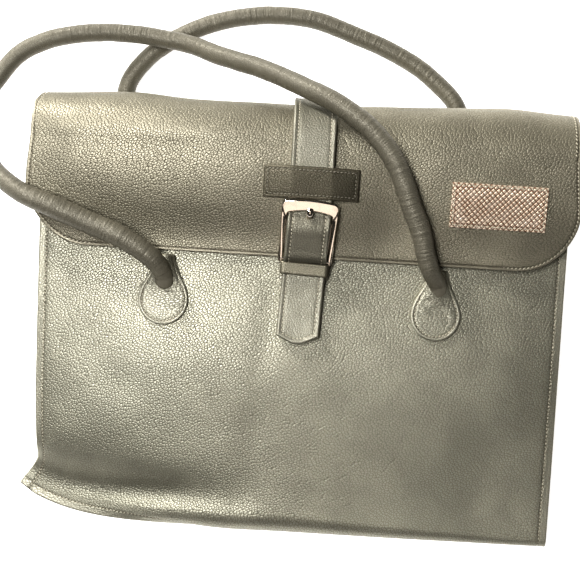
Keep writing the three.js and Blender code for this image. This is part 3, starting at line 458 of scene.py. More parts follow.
# the keeper's leather is a darker copy of the strap's: painted shade
shadedKeeperLeather = makeLeather("shadedKeeperLeather", tint=(0.62, 0.6, 0.57), usesEdge=False, **fine)
handleLeather = makeLeather("handleLeather", tint=(0.53, 0.51, 0.49), wrinkles=0.00035, metallic=0.25, **fine)
# the handle tabs' leather is a slightly paler copy of the body's: painted light
tabLeather = makeLeather("tabLeather", cells=680.0, depth=0.00025, tint=(1.04, 1.04, 1.05))
nickel = makeNickel()
labelSkin = makeLabelSkin()
thread = makeThread("sewingThread", 0.95)
darkThread = makeThread("darkThread", 0.5)
print("materials made")

# Front panel
panelShape = {
    "crest": [(0, 0.7), (0.1, 0.735), (0.25, 0.785), (0.5, 0.85), (0.7, 0.895), (0.85, 0.95), (1, 1)],
    # place across and along, reach across and along, and depth
    "dents": [
        (-1, 0.02, 0.42, 0.13, 0.32),
        (-0.62, 0.088, 0.33, 0.05, 0.12),
        (0.68, 0.16, 0.14, 0.12, 0.025),
        (-0.72, 0.42, 0.16, 0.14, 0.02),
    ],
    "bottomRise": [(-1, 0.077), (-0.94, 0.046), (-0.82, 0.018), (-0.66, 0.004), (-0.45, 0), (1, 0)],
    "leftEdge": [(0, 1.048), (0.06, 1.0), (0.13, 0.975), (0.36, 0.986), (0.75, 1), (1, 1)],
    # place across, length of the roll at the bottom as a share of the depth, and its turn in degrees
    "roll": [
        (-1, 0.07, 0), (-0.72, 0.09, 8), (-0.5, 0.16, 52), (-0.3, 0.33, 90),
        (0, 0.377, 90), (0.4, 0.283, 90), (0.85, 0.173, 90), (1, 0.141, 90),
    ],
    "waveHeight": 0.9,
    "swell": 7.0,
    "groove": 0.45,
    # x, up of both ends of each soft crease, its width, and its height, below 0 for a valley
    "creases": [
        (-24, 200, -28, 110, 9, -0.5),
        (-28, 110, -38, 14, 11, -0.55),
        (175, 30, 205, 8, 6, -0.7),
        (-150, 150, -120, 118, 12, 0.35),
        (60, 120, 120, 95, 14, -0.3),
    ],
}


def dented(dents, across, along):
    bell = lambda a, b, wide, long: np.exp(-(((across - a) / wide) ** 2) - ((along - b) / long) ** 2)
    return sum(deep * bell(*dent) for *dent, deep in dents)


def panelPlace(across, along):  # x and up of a place on a panel
    out = np.where(across < 0, readTable(panelShape["leftEdge"], along / case["panelLength"]), 1.0)
    x = across * case["halfWidth"] * (1 + (out - 1) * across**4)
    rise = readTable(panelShape["bottomRise"], across) * case["panelLength"]
    return x, along + rise * (1 - smooth(along, 0, 0.24 * case["panelLength"]))


def creased(x, up):  # soft bells about the line between two points, faded past its ends
    total = 0.0
    for x0, up0, x1, up1, width, height in panelShape["creases"]:
        dx, dy = x1 - x0, up1 - up0
        length = math.hypot(dx, dy)
        gone = ((x - x0) * dx + (up - up0) * dy) / length
        aside = ((x - x0) * dy - (up - up0) * dx) / length
        ends = smooth(gone, -10, 12) * (1 - smooth(gone, length - 12, length + 10))
        total = total + height * bump(aside, width) * ends
    return total


def panelRelief(across, x, up):  # slow and fine waves and the creases, gone at the sides
    fade = smooth(case["halfWidth"] - np.abs(across) * case["halfWidth"], 5, 26)
    slow, quick = panelShape["waveHeight"] * waves(x, up, 62, 3), 0.3 * waves(x, up, 27, 4)
    return fade * (slow + quick + creased(x, up))


def frontHeight(across, along):  # crest line, less its dents and a fall towards both sides, plus a swell
    up = along / case["panelLength"]
    reach = np.where(across < case["ridge"], 1 + case["ridge"], 1 - case["ridge"])
    drop = case["sideDrop"] * (np.abs(across - case["ridge"]) / reach) ** 1.9
    swell = panelShape["swell"] * smooth(along, 20, 135) * (1 - smooth(along, 128, 226)) * (1 - across**6)
    crest = readTable(panelShape["crest"], up) - dented(panelShape["dents"], across, up)
    return case["depth"] * crest - drop + swell


def rolled(across, share):  # an arc of a length and turn read from a table, at a share of its length
    arc = readTable(panelShape["roll"], across, 1) * case["depth"]
    turn = np.maximum(np.radians(readTable(panelShape["roll"], across, 2)), 0.01)
    radius = arc / turn
    return radius * np.sin(turn * share), radius * (1 - np.cos(turn * share)), turn, arc


def frontSkin(across, flat, roll, past):  # outer face: flat from 1 at the mouth to 0, then roll, then past
    back, _, turn, arc = rolled(across, np.ones_like(roll))
    seamBack = case["seam"] * np.cos(turn)
    start = back + seamBack
    goneBack, goneDown, _, _ = rolled(across, roll)
    onFlat = mix(start, case["panelLength"], flat)
    along = np.where(roll > 0, start - goneBack - past * seamBack, onFlat)
    drop = np.where(roll > 0, goneDown + past * case["seam"] * np.sin(turn), 0)
    x, up = panelPlace(across, along)
    inRoll = arc * (1 - roll) + case["seam"] * (1 - past)
    fromBottom = np.where(roll > 0, inRoll, arc + case["seam"] + onFlat - start)
    z = frontHeight(across, onFlat) - drop + smooth(fromBottom, 5, 30) * panelRelief(across, x, up)
    return stack(x, up, z), fromBottom


flatLength = 300
acrossPlaces = spread(2 * case["halfWidth"], case["gridStep"], edgeLines + [6.0, 6.6, 7.4, 8.6])
panelAcross = acrossPlaces / case["halfWidth"] - 1
flatShares = 1 - spread(flatLength, case["gridStep"])[:-6] / flatLength
flatShares[-1] = 0
rollShares = np.linspace(0, 1, 15)[1:]
pastShares = np.array([0.1, 0.2, 0.35, 0.5, 0.62, 0.74, 0.84, 0.91, 0.96, 1.0])
flatRow = np.concatenate([flatShares, zeros(len(rollShares) + len(pastShares))])[:, None]
rollRow = np.concatenate([zeros(len(flatShares)), rollShares, np.ones(len(pastShares))])[:, None]
pastRow = np.concatenate([zeros(len(flatShares) + len(rollShares)), pastShares])[:, None]
acrossGrid = np.broadcast_to(panelAcross, (len(flatRow), len(panelAcross)))
outer, fromBottom = frontSkin(acrossGrid, flatRow, rollRow, pastRow)
fromSide = np.minimum(acrossPlaces, 2 * case["halfWidth"] - acrossPlaces)[None]
fromMouth = case["panelLength"] - np.where(rollRow > 0, 0, outer[..., 1])
fromEdge = np.minimum(np.minimum(fromSide, np.maximum(fromBottom, 0)), np.maximum(fromMouth, 0))
fromEdge[-1] = 0
outward = faceUp(outer)
seamLine = np.minimum(np.abs(fromSide - case["seam"]), np.abs(fromBottom - case["seam"]))
relief = 0.14 * bump(fromEdge - 1.2, 0.9) - panelShape["groove"] * bump(seamLine, 1.1)
frontTop = outer + outward * relief[..., None]
frontMiddle = frontTop - outward * (case["leather"] / 2)
paleRim = np.maximum(bump(fromEdge, 1.3), 0.5 * (fromEdge < case["seam"]))
frontShade = np.where(seamLine < 1.4, -0.9 * bump(seamLine, 0.75), paleRim)
frontPanel = addSheet("frontPanel", frontMiddle, rounded(fromEdge, case["leather"]), bodyLeather, frontShade)
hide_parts("front_panel")


def frontZ(x, up):  # height of the front panel at any place on it
    across = clamp(np.asarray(x, float) / case["halfWidth"], -1, 1)
    return frontHeight(across, up) + panelRelief(across, x, up)


def normalsOf(heightAt, x, up):  # unit of minus the slopes and one
    h = 0.4
    dx = (heightAt(x + h, up) - heightAt(x - h, up)) / (2 * h)
    dy = (heightAt(x, up + h) - heightAt(x, up - h)) / (2 * h)
    return unit(stack(-dx, -dy, np.ones_like(dx)))


def columnAt(grid, share):  # a grid's points where its columns pass a place, between two of them
    at = np.interp(share, panelAcross, np.arange(len(panelAcross)))
    low = int(at)
    return mix(grid[:, low], grid[:, min(low + 1, grid.shape[1] - 1)], at - low)


seamShare = 1 - case["seam"] / case["halfWidth"]
lowRows = slice(3, len(flatRow) - 6)
sideSeams = [[columnAt(grid, side * seamShare)[lowRows] for grid in (frontTop, outward)] for side in (-1, 1)]
bottomRow = len(flatShares) + len(rollShares) - 1
bottomSeam = (frontTop[bottomRow, 14:-14], outward[bottomRow, 14:-14])
addStitches("frontPanelStitches", sideSeams + [bottomSeam], thread, zigzag=0.5)
print("front panel made")

# Back panel
backAcross = spread(2 * case["halfWidth"], 7.0) / case["halfWidth"] - 1
backAlong = spread(case["panelLength"], 6.0)[::-1]


def backHeight(along):
    return case["lift"] * smooth(along, case["restLength"], case["restLength"] + case["liftLength"])


backX, backUp = panelPlace(backAcross[None], backAlong[:, None])
backMiddle = stack(backX, backUp, backHeight(backAlong)[:, None] + case["leather"] / 2)
backEdge = np.minimum(
    np.minimum(backAlong, case["panelLength"] - backAlong)[:, None],
    (case["halfWidth"] * (1 - np.abs(backAcross)))[None],
)
backHalf = rounded(backEdge, case["leather"])
backPanel = addSheet("backPanel", backMiddle, backHalf, bodyLeather, bump(backEdge, 1.3))
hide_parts("back_panel")

# Gussets: each is one bent sheet from the front panel's edge, in between the panels, to the back panel's
gussets = {"fold": 17.0, "bottomFold": 7.0, "waves": 1.1, "flangeShare": 0.9995, "seamInset": 0.6}


def bentSheet(name, profile, material, thickness):  # profile: lines of points, curved through across them
    controls = np.stack(profile, 1)
    rows, count = controls.shape[:2]
    places = np.linspace(0, count - 1, 8 * (count - 1) + 1)
    table = np.arange(count, dtype=float)
    through = lambda row: [readTable(np.stack([table, row[:, k]], -1), places) for k in range(3)]
    grid = np.stack([through(row) for row in controls]).transpose(0, 2, 1)
    steps = np.linalg.norm(np.diff(grid, axis=1), axis=2)
    lengths = np.concatenate([zeros((rows, 1)), np.cumsum(steps, 1)], 1)
    fromEdge = np.minimum(lengths, lengths[:, -1:] - lengths)
    fromEdge[[0, -1]] = 0
    return addSheet(name, grid, rounded(fromEdge, thickness), material, bump(fromEdge, 1.2))


def webBetween(start, end, steps, deep, axis):  # lines between two seams, pushed along an axis as a sine
    web = [mix(start, end, step) for step in steps]
    for line, step in zip(web, steps):
        line[:, axis] += deep * math.sin(math.pi * step)
    return web


webRows = np.array([3, 7, 11, 14, 17, 20, 22]) + len(flatShares)
webRows = np.concatenate([np.arange(0, len(flatShares), 3), webRows])
flangeZ = case["leather"] + case["gap"] + case["gussetLeather"] / 2
flangeSkin = outer - outward * (flangeZ + case["gap"])
backLow = case["seam"] + 2.5
for side, label in ((-1, "left"), (1, "right")):
    shares = (seamShare, gussets["flangeShare"])
    seamTop, edgeLine = (columnAt(flangeSkin, side * share)[webRows] for share in shares)
    along = np.linspace(case["panelLength"], backLow, len(webRows))
    along = np.where(rollRow[webRows, 0] > 0, backLow, along)
    backX = [panelPlace(np.full(len(webRows), side * share), along)[0] for share in shares]
    backSeam, backEdgeLine = (stack(x, seamTop[:, 1], backHeight(along) + flangeZ) for x in backX)
    depth = gussets["fold"] * smooth(along, 0, 62) + gussets["waves"] * waves(along, along * 0, 38, 7 + side)
    web = webBetween(seamTop, backSeam, (0.12, 0.3, 0.5, 0.7, 0.88), -side * depth, 0)
    inset = np.array([-side * gussets["seamInset"], 0, 0])
    profile = [edgeLine, mix(edgeLine, seamTop, 0.5), seamTop + inset, *web]
    profile += [backSeam + inset, mix(backSeam, backEdgeLine, 0.5), backEdgeLine]
    gussetName = "sideGusset" + label.capitalize()
    gusset = bentSheet(gussetName, profile[::-side], bodyLeather, case["gussetLeather"])
    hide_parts("side_gusset_" + label)

# Bottom gusset, folded the same way between the panels' bottom seams
gussetColumns = np.arange(9, len(panelAcross) - 8, 3)
seamTop, flangeEnd = flangeSkin[[bottomRow, len(flatRow) - 1]][:, gussetColumns]
gussetAcross = panelAcross[gussetColumns]
turned = readTable(panelShape["roll"], gussetAcross, 2) / 90
deep = gussets["bottomFold"] * turned * (1 - smooth(np.abs(gussetAcross), 0.78, 0.92))
backUps = [panelPlace(gussetAcross, np.full(len(gussetAcross), low))[1] for low in (case["seam"] - 2.0, 0.3)]
inner, outerEnd = (stack(seamTop[:, 0], up, flangeZ) for up in backUps)
web = webBetween(seamTop, inner, (0.15, 0.38, 0.62, 0.85), deep, 1)
profile = [flangeEnd, mix(flangeEnd, seamTop, 0.5), seamTop, *web, inner, outerEnd]
bottomGusset = bentSheet("bottomGusset", profile, bodyLeather, case["gussetLeather"])
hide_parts("bottom_gusset")
print("back and gussets made")

# Flap: a lap behind the back panel, a fold past the mouth, then the front down to its free edge
flapShape = {
    "leather": 2.6,
    "foldWidth": 427.0,
    "width": 438.0,
    "aside": -1.4,
    "foldUp": 312.0,
    "edgeUp": 222.0,
    "lap": 20.0,
    "lapZ": 14.35,
    "lapSteps": np.array([0, 0.3, 0.8, 1.6, 3, 6, 10, 14, 17, 19]),
    "crest": 82.5,
    "sideDrop": 10.0,
    "reach": 35.0,
    "corner": 48.0,
    "foldLine": [
        (-1, 0.91), (-0.66, 1.02), (-0.42, 0.93), (-0.08, 0.95), (0.26, 1.02), (0.7, 1.14), (1, 1.08),
    ],
    "slope": [(0, 0), (0.25, 0.06), (0.55, 0.36), (0.85, 0.86), (1, 1)],
    "dents": [(-0.55, 0.1, 0.3, 0.25, 0.03), (0.5, 0.75, 0.2, 0.3, 0.014)],
    "waveHeight": 0.7,
    "rim": 0.12,
    "lift": 6.5,
    "stitchIn": 2.3,
    "over": 0.9,
    "bulge": 6.6,
    "sag": (71, 262, 3.6),  # place and depth of the hollow under the front handle
}


def flapLift(x, down):  # a fuller crest left of the middle, gone at the free edge
    fade = (1 - smooth(down, 0.2, 0.95)) * smooth(flapShape["width"] / 2 - np.abs(x), 0, 40)
    return flapShape["lift"] * bump(x + 95, 95) * fade


def sideFall(across):  # the crest falls more towards the left
    return flapShape["sideDrop"] * across**2 * np.where(across > 0, 0.4, 1.0)


def bulged(x, up):  # the flap's left edge stands out further over the fold
    overFold = smooth(up, 232, 312) * (1 - 0.7 * smooth(up, 332, 347))
    return x - flapShape["bulge"] * smooth(-x, 110, 219) * overFold


def flapHalf(ease):  # half the flap's width, easing from the fold to the free edge
    return mix(flapShape["foldWidth"], flapShape["width"], ease) / 2


flapDrop = flapShape["foldUp"] - flapShape["edgeUp"]


def flapFront(x, up):  # outer height of the flap's front by place, from its crest down to the panel
    down = clamp((flapShape["foldUp"] - up) / flapDrop)
    ease = smooth(down, 0, 0.6)
    half = flapHalf(ease)
    across = clamp((x - flapShape["aside"] * ease) / half, -1, 1)
    top = flapShape["crest"] - sideFall(across)
    rest = frontHeight(clamp(x / case["halfWidth"], -1, 1), flapShape["edgeUp"]) + 2 * case["gap"]
    rest = rest + flapShape["leather"] + flapShape["over"] + 3.4 * smooth(across, 0.5, 0.85)
    dent = dented(flapShape["dents"], across, down) * case["depth"] * np.sin(math.pi * down)
    soft = smooth(half * (1 - np.abs(across)), 3, 25) * smooth(down, 0, 0.1) * (1 - smooth(down, 0.93, 1))
    soft = soft * (flapShape["waveHeight"] * waves(x, up, 70, 11) + 0.35 * waves(x, up, 30, 12))
    sagX, sagUp, sagDepth = flapShape["sag"]
    sag = sagDepth * bump(x - sagX, 27) * bump(up - sagUp, 34)
    return mix(top, rest, readTable(flapShape["slope"], down)) - dent + soft + flapLift(x, down) - sag


far = 999.0  # further than any distance from an edge
flapPlaces = spread(flapShape["width"], case["gridStep"], edgeLines + [6.5, 8])
flapAcross = flapPlaces / (flapShape["width"] / 2) - 1
cornerRise = spread(2 * flapDrop, 2.5, edgeLines + [6.5, 8])
cornerRise = cornerRise[cornerRise <= flapDrop - 2][::-1]
lapUps = flapShape["foldUp"] - flapShape["lap"] + flapShape["lapSteps"]
turns = np.radians(np.linspace(0, 178, 58))
foldRow = np.full(len(turns), flapShape["foldUp"])
rowUp = np.concatenate([lapUps, foldRow, flapShape["edgeUp"] + cornerRise])[:, None]
rowTurn = np.concatenate([zeros(len(lapUps)), turns, np.full(len(cornerRise), math.pi)])[:, None]
across = np.broadcast_to(flapAcross, (len(rowUp), len(flapAcross)))
foldX = across * flapShape["foldWidth"] / 2
top = flapShape["crest"] - sideFall(across) + flapLift(foldX, 0)
reach = readTable(flapShape["foldLine"], across) * flapShape["reach"]
foldWaves = waves(across * case["halfWidth"], across * 0, 34, 15)
reach = reach + 0.9 * foldWaves * smooth(1 - np.abs(across), 0, 0.1)
foldUpward = flapShape["foldUp"] + reach * np.sin(rowTurn)
foldZ = (top + flapShape["lapZ"]) / 2 - (top - flapShape["lapZ"]) / 2 * np.cos(rowTurn)
ease = smooth((flapShape["foldUp"] - rowUp) / flapDrop, 0, 0.6)
corner = flapShape["corner"]
above = clamp(rowUp - flapShape["edgeUp"], 0, corner)
loss = corner - np.sqrt(np.maximum(corner**2 - (corner - above) ** 2, 0))
middleX = flapShape["aside"] * ease
frontX = across * flapHalf(ease) - loss * across**3 + middleX
frontUp = np.broadcast_to(rowUp, across.shape)
onFront = rowTurn >= math.pi
flapX = np.where(onFront, frontX, foldX)
flapUp = np.where(onFront, frontUp, foldUpward)
flapOuter = stack(flapX, flapUp, np.where(onFront, flapFront(frontX, frontUp), foldZ))
# distance from the edge: from the sides and the free edge, round at the two corners, and from the lap's edge
onSide = flapShape["foldWidth"] / 2 * (1 - np.abs(across))
dx = np.where(onFront, flapHalf(ease) - np.abs(flapX - middleX), onSide)
dy = np.where(onFront, rowUp - flapShape["edgeUp"], far)
inCorner = (dx < corner) & (dy < corner)
flapEdge = np.where(inCorner, corner - np.hypot(corner - dx, corner - dy), np.minimum(dx, dy))
flapEdge = np.minimum(flapEdge, np.where(rowTurn > 0, far, rowUp - lapUps[0]))
flapEdge = np.maximum(flapEdge, 0)
flapEdge[:, [0, -1]] = 0
flapEdge[[0, -1]] = 0
flapOuter[..., 0] = bulged(flapOuter[..., 0], flapOuter[..., 1])
flapOut = faceUp(flapOuter)
rim = flapShape["rim"] * bump(flapEdge - 1.4, 1.2) - 0.4 * bump(flapEdge - flapShape["stitchIn"], 0.9)
flapTop = flapOuter + flapOut * rim[..., None]
flapMiddle = flapTop - flapOut * (flapShape["leather"] / 2)
flapShade = 0.9 * bump(flapEdge - 1.0, 0.9) - 0.9 * (flapEdge < 0.35)
flapShade = flapShade - 0.75 * bump(flapEdge - flapShape["stitchIn"] - 0.7, 0.7)
flap = addSheet("flapPanel", flapMiddle, rounded(flapEdge, flapShape["leather"]), shadedFlapLeather, flapShade)
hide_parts("flap")


def flapOutline(inset):  # the flap's free outline, an inset inside its edge: down one side, round, and up
    middleX, edgeUp, r = flapShape["aside"], flapShape["edgeUp"] + inset, corner - inset
    turn = np.radians(np.linspace(0, 90, 24))
    half = flapShape["width"] / 2 - inset - r + r * np.cos(turn)
    side = np.linspace(flapShape["foldUp"] - 2, edgeUp + r, 30)
    ease = smooth((flapShape["foldUp"] - side) / flapDrop, 0, 0.6)
    sideX = flapHalf(ease) - inset
    leftX, rightX = (
        np.concatenate([hand * sideX + middleX * ease, middleX + hand * half]) for hand in (-1, 1)
    )
    ups = np.concatenate([side, edgeUp + r - r * np.sin(turn)])
    return np.concatenate([leftX, rightX[::-1]]), np.concatenate([ups, ups[::-1]])


seamX, seamUp = flapOutline(flapShape["stitchIn"])
flapNormal = normalsOf(flapFront, seamX, seamUp)
flapSeam = stack(bulged(seamX, seamUp), seamUp, flapFront(seamX, seamUp)) - flapNormal * 0.3
foldRows = slice(len(lapUps), len(lapUps) + len(turns))
foldSeams = [(flapTop[foldRows, at], flapOut[foldRows, at]) for at in (7, len(flapAcross) - 8)]
addStitches("flapStitches", [(flapSeam, flapNormal)] + foldSeams, thread, pitch=3.3, lean=0.5, scale=1.25)
print("flap made")

# Patches: the label on the flap here, and the band over the strap further on
label = {
    "across": 151.6,
    "up": 253.5,
    "width": 76.0,
    "height": 35.0,
    "leather": 1.4,
    "over": 0.45,
    "stitchIn": 2.0,
}


def patchGrid(patch, heightAt, step):  # a rectangle laid on a height field
    width, height = patch["width"], patch["height"]
    u, v = spread(width, step), spread(height, step)[::-1]
    gridX, gridUp = np.meshgrid(patch["across"] - width / 2 + u, patch["up"] + v)
    fromEdge = np.minimum(np.minimum(u, width - u)[None], np.minimum(v, height - v)[:, None])
    return stack(gridX, gridUp, heightAt(gridX, gridUp)), fromEdge


def patchSeam(patch, heightAt, over):
    half = np.array([patch["width"], patch["height"]]) / 2 - patch["stitchIn"]
    line, _ = alongPath(np.array([(-1, 1), (1, 1), (1, -1), (-1, -1), (-1, 1)], float) * half, 1.0)
    x, up = patch["across"] + line[:, 0], patch["up"] + patch["height"] / 2 + line[:, 1]
    return stack(x, up, heightAt(x, up) + over + patch["leather"] - 0.15), normalsOf(heightAt, x, up)


labelGrid, labelEdge = patchGrid(label, flapFront, 1.3)
labelGrid[..., 2] += label["over"] + label["leather"] / 2 - 0.2 * bump(labelEdge - label["stitchIn"], 0.7)
labelShade = -0.8 * bump(labelEdge - 3.4, 0.6) - 0.32 * smooth(labelEdge, 6.5, 8.5)
labelPatch = addSheet("labelPatch", labelGrid, rounded(labelEdge, label["leather"]), labelSkin, labelShade)
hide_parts("label_patch")
addStitches("labelStitches", [patchSeam(label, flapFront, label["over"])], thread, pitch=2.6)

# Strap, and the tab and the buckle that set its line: everything below the buckle's bar leans with it
strap = {
    "across": 3.5,
    "width": 34.0,
    "leather": 3.2,
    "lean": math.radians(2.3),
    "pivotUp": 220.5,
    "pivotZ": 70.05,
    "barLow": 255.2,
    "frameHeight": 46.5,
    "barOver": 1.26,
    "keeperUp": 208.5,
    "keeperHeight": 10.0,
    "endUp": 154.0,
    "point": 6.2,
    "tipHalf": 3.4,
    "stitchIn": 4.2,
}
tab = {"width": 29.0, "leather": 1.5, "lowUp": 172.0, "slot": 5.2, "stemEnd": 14.49}
buckle = {
    "height": 50.0,
    "arch": 4.5,
    "side": 4.6,
    "topBar": 10.8,
    "thickness": 3.0,
    "inside": 35.6,
    "taper": 0.93,
    "pivotRadius": 1.6,
}


def strapX(up):
    return strap["across"] - np.maximum(strap["barLow"] - up, 0) * math.tan(strap["lean"])


def highest(heightAt, x, width, up):  # of a height field, over a width at a place up
    return np.max([heightAt(x + share * width, up) for share in (-0.5, 0, 0.5)], 0)


pivotX = float(strapX(strap["pivotUp"]))
strapTopZ = lambda up: highest(flapFront, strap["across"], strap["width"], up)
stemZ = lambda up: highest(frontZ, pivotX, tab["width"], up) + case["gap"]
barUps = strap["pivotUp"] + strap["frameHeight"] - np.array([0, 0.5, 1]) * buckle["topBar"]
barZ = strapTopZ(barUps) + strap["barOver"] + strap["leather"] + buckle["thickness"] / 2
frameTilt = float(np.max(np.arctan2(barZ - strap["pivotZ"], barUps - strap["pivotUp"])))

# The strap's under side as up and z: behind the case, round the flap's fold, down its front, in the keeper
strapFold = strap["across"] + np.array([-0.5, 0, 0.5]) * strap["width"]
foldAcross = strapFold / (flapShape["foldWidth"] / 2)
foldTop = float(np.max(flapShape["crest"] - sideFall(foldAcross) + flapLift(strapFold, 0)))
foldMiddle, foldHalf = (foldTop + flapShape["lapZ"]) / 2, (foldTop - flapShape["lapZ"]) / 2
foldReach = float(np.max(readTable(flapShape["foldLine"], foldAcross))) * flapShape["reach"]
backZ = case["lift"] - case["gap"]
wrap = [
    (flapShape["foldUp"] + (foldReach + 0.9) * math.sin(turn), foldMiddle - (foldHalf + 0.6) * math.cos(turn))
    for turn in np.radians(np.arange(4, 178, 9))
]
keeper = {"leather": 1.5, "insideWidth": 35.1, "insideHeight": 4.9, "over": 0.875}
keeperLow = float(stemZ(strap["keeperUp"])) + tab["leather"] + keeper["over"]
keeperEnd = float(stemZ(strap["keeperUp"] + strap["keeperHeight"])) + tab["leather"] + keeper["over"]
keeperHigh = max(keeperLow, keeperEnd)
ringZ = lambda share: mix(keeperLow, keeperHigh, share) + keeper["leather"] + 0.7
restUps = [mix(strap["keeperUp"], strap["endUp"], s) for s in (0.24, 0.45, 0.72, 1.0)]
strapLine = (
    [(242, backZ), (262, backZ), (280, backZ - 0.3), (288.5, 14.6), (296, 14.0), (306, 14.0)]
    + wrap
    + [(up, float(strapTopZ(up)) + 0.5) for up in (306, 300, 292, 284, 276, 268, 261)]
    + [(246, 81.4), (237.4, 78.9), (229, 76.2), (222.3, 73.9)]
    + [(strap["keeperUp"] + up, ringZ(share)) for up, share in ((10.5, 1.1), (5, 0.5), (-1.5, -0.1))]
    + [(up, float(stemZ(up)) + tab["leather"] + over) for up, over in zip(restUps, (1.6, 0.7, 0.35, 0.9))]
)
strapPath, strapGone = throughPoints([(up, z, 0) for up, z in strapLine], 1.4)
strapLong = strapGone[-1]
fineEnd = np.concatenate([strapGone[:-8], strapLong - np.array(edgeLines + [6.5, 8, 9.5])[::-1]])
fineEnd = np.unique(fineEnd[fineEnd >= 0])
pathUp, pathZ = (np.interp(fineEnd, strapGone, strapPath[:, k]) for k in (0, 1))
fromTip = strapLong - fineEnd
strapPlaces = spread(strap["width"], 1.5)
offsetX = strapPlaces - strap["width"] / 2
pointed = np.maximum(np.abs(offsetX) - strap["tipHalf"], 0)
pointed = pointed * strap["point"] / (strap["width"] / 2 - strap["tipHalf"])
shift = pointed[None] * (1 - smooth(fromTip, 0, 22))[:, None]
upGrid = pathUp[:, None] + shift
strapUnder = stack(strapX(upGrid) + offsetX[None], upGrid, pathZ[:, None])
strapDown = faceUp(strapUnder)
strapNormal = strapDown * np.sign(strapDown[-20, 5, 2])
tipEdge = np.maximum((fromTip[:, None] + shift - pointed[None]) * 0.95, 0)
strapEdge = np.minimum(strapPlaces, strap["width"] - strapPlaces)[None]
strapEdge = np.minimum(strapEdge, np.minimum(tipEdge, fineEnd[:, None]))
strapEdge[-1] = 0
crown = 0.35 * bump(strapEdge - 1.1, 1.0) - 0.3 * bump(strapEdge - strap["stitchIn"], 0.8)
crown = crown + 0.12 * waves(upGrid, offsetX[None] + zeros(upGrid.shape), 9, 21)
strapMiddle = strapUnder + strapNormal * (strap["leather"] / 2 + crown * 0.5)[..., None]
strapHalf = rounded(strapEdge, strap["leather"]) + np.where(strapEdge > 0, crown * 0.5, 0)
# painted shade along the stitch grooves and inside the buckle's frame, and a little darker above the band
frameShade = smooth(upGrid, 212, 217) * (1 - smooth(upGrid, 254, 258)) * smooth(pathZ, 60, 62)[:, None]
strapShade = 0.8 * bump(strapEdge, 1.1) - 0.6 * bump(strapEdge - strap["stitchIn"], 0.55)
strapShade = strapShade - 0.6 * frameShade - 0.2 * smooth(upGrid, 259, 263)
strapPiece = addSheet("closureStrap", strapMiddle, strapHalf, strapLeather, strapShade)
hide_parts("closure_strap")
strapSurface = strapUnder + strapNormal * (strap["leather"] + crown)[..., None]

inner = strap["width"] / 2 - strap["stitchIn"]
longRows = slice(4, int(np.searchsorted(fineEnd, strapLong - strap["stitchIn"])))
sideColumns = [int(np.argmin(np.abs(offsetX - offset))) for offset in (-inner, inner)]
strapSeams = [(strapSurface[longRows, k], strapNormal[longRows, k]) for k in sideColumns]
crossRow = int(np.argmin(np.abs(fromTip - strap["stitchIn"])))
betweenSeams = np.abs(offsetX) <= inner + 0.4
strapSeams.append((strapSurface[crossRow][betweenSeams], strapNormal[crossRow][betweenSeams]))
addStitches("strapStitches", strapSeams, thread, scale=1.15)
print("strap made")

# Band sewn over the strap
band = {
    "across": strap["across"],
    "up": 268.0,
    "width": 75.0,
    "height": 25.0,
    "leather": 2.0,
    "stitchIn": 3.0,
}


def bandZ(x, up):  # over the strap in the middle, easing down to the flap beside it
    aside = np.abs(x - strap["across"]) - strap["width"] / 2
    return flapFront(x, up) + case["gap"] + (strap["leather"] + 0.9) * (1 - clamp((aside + 1) / 21.5))


bandGrid, bandEdge = patchGrid(band, bandZ, 1.2)
bandWaves = 0.2 * waves(bandGrid[..., 0], bandGrid[..., 1], 8, 31)
bandGrid[..., 2] += band["leather"] / 2 - 0.3 * bump(bandEdge - band["stitchIn"], 0.8) + bandWaves
bandShade = 0.8 * bump(bandEdge, 0.9) - 0.6 * bump(bandEdge - band["stitchIn"], 0.55)
bandPiece = addSheet("strapBand", bandGrid, rounded(bandEdge, band["leather"]), bandLeather, bandShade)
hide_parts("strap_loop")
addStitches("bandStitches", [patchSeam(band, bandZ, 0)], darkThread)


# Keeper: a flat ring of leather round the strap and the tab below it
def ringPath(halfWide, low, high, radius):  # rounded rectangle, anticlockwise from the right
    right, top, bottom = halfWide - radius, high - radius, low + radius
    corners = [(right, top, 0), (-right, top, 90), (-right, bottom, 180), (right, bottom, 270)]
    arcs = []
    for x, z, start in corners:
        turn = np.radians(np.linspace(0, 90, 7)) + math.radians(start)
        arcs.append(stack(x + radius * np.cos(turn), z + radius * np.sin(turn)))
    return alongPath(np.concatenate(arcs + [arcs[0][:1]]), 1.0)[0][:-1]


def leanPlace(points, slope, base):  # tilt about x, then lean about z, then move to a base
    x, along, z = np.moveaxis(points, -1, 0)
    up, height = along * math.cos(slope) - z * math.sin(slope), along * math.sin(slope) + z * math.cos(slope)
    cosine, sine = math.cos(strap["lean"]), math.sin(strap["lean"])
    return stack(base[0] + x * cosine + up * sine, base[1] - x * sine + up * cosine, base[2] + height)


power = lambda wave, n: np.sign(wave) * np.abs(wave) ** n  # squares a circle's wave off
halfLeather = keeper["leather"] / 2
ringWide, ringHigh = keeper["insideWidth"] / 2 + halfLeather, keeper["insideHeight"] + halfLeather
ring = ringPath(ringWide, -halfLeather, ringHigh, 1.6)
tangent = unit(np.roll(ring, -1, 0) - np.roll(ring, 1, 0))
outSide = stack(tangent[:, 1], -tangent[:, 0])
turn = circle(20)
sectionAlong = power(np.cos(turn), 0.45) * strap["keeperHeight"] / 2
sectionOut = power(np.sin(turn), 0.8) * halfLeather
sectionOut = sectionOut + np.where(sectionOut > 0, 0.25 * bump(np.abs(sectionAlong) - 3.6, 1.2), 0)
ringOut = ring[:, None] + outSide[:, None] * sectionOut[None, :, None]
keeperPlace = stack(ringOut[..., 0], strap["keeperHeight"] / 2 + sectionAlong[None], ringOut[..., 1])
keeperSlope = math.atan2(keeperHigh - keeperLow, strap["keeperHeight"])
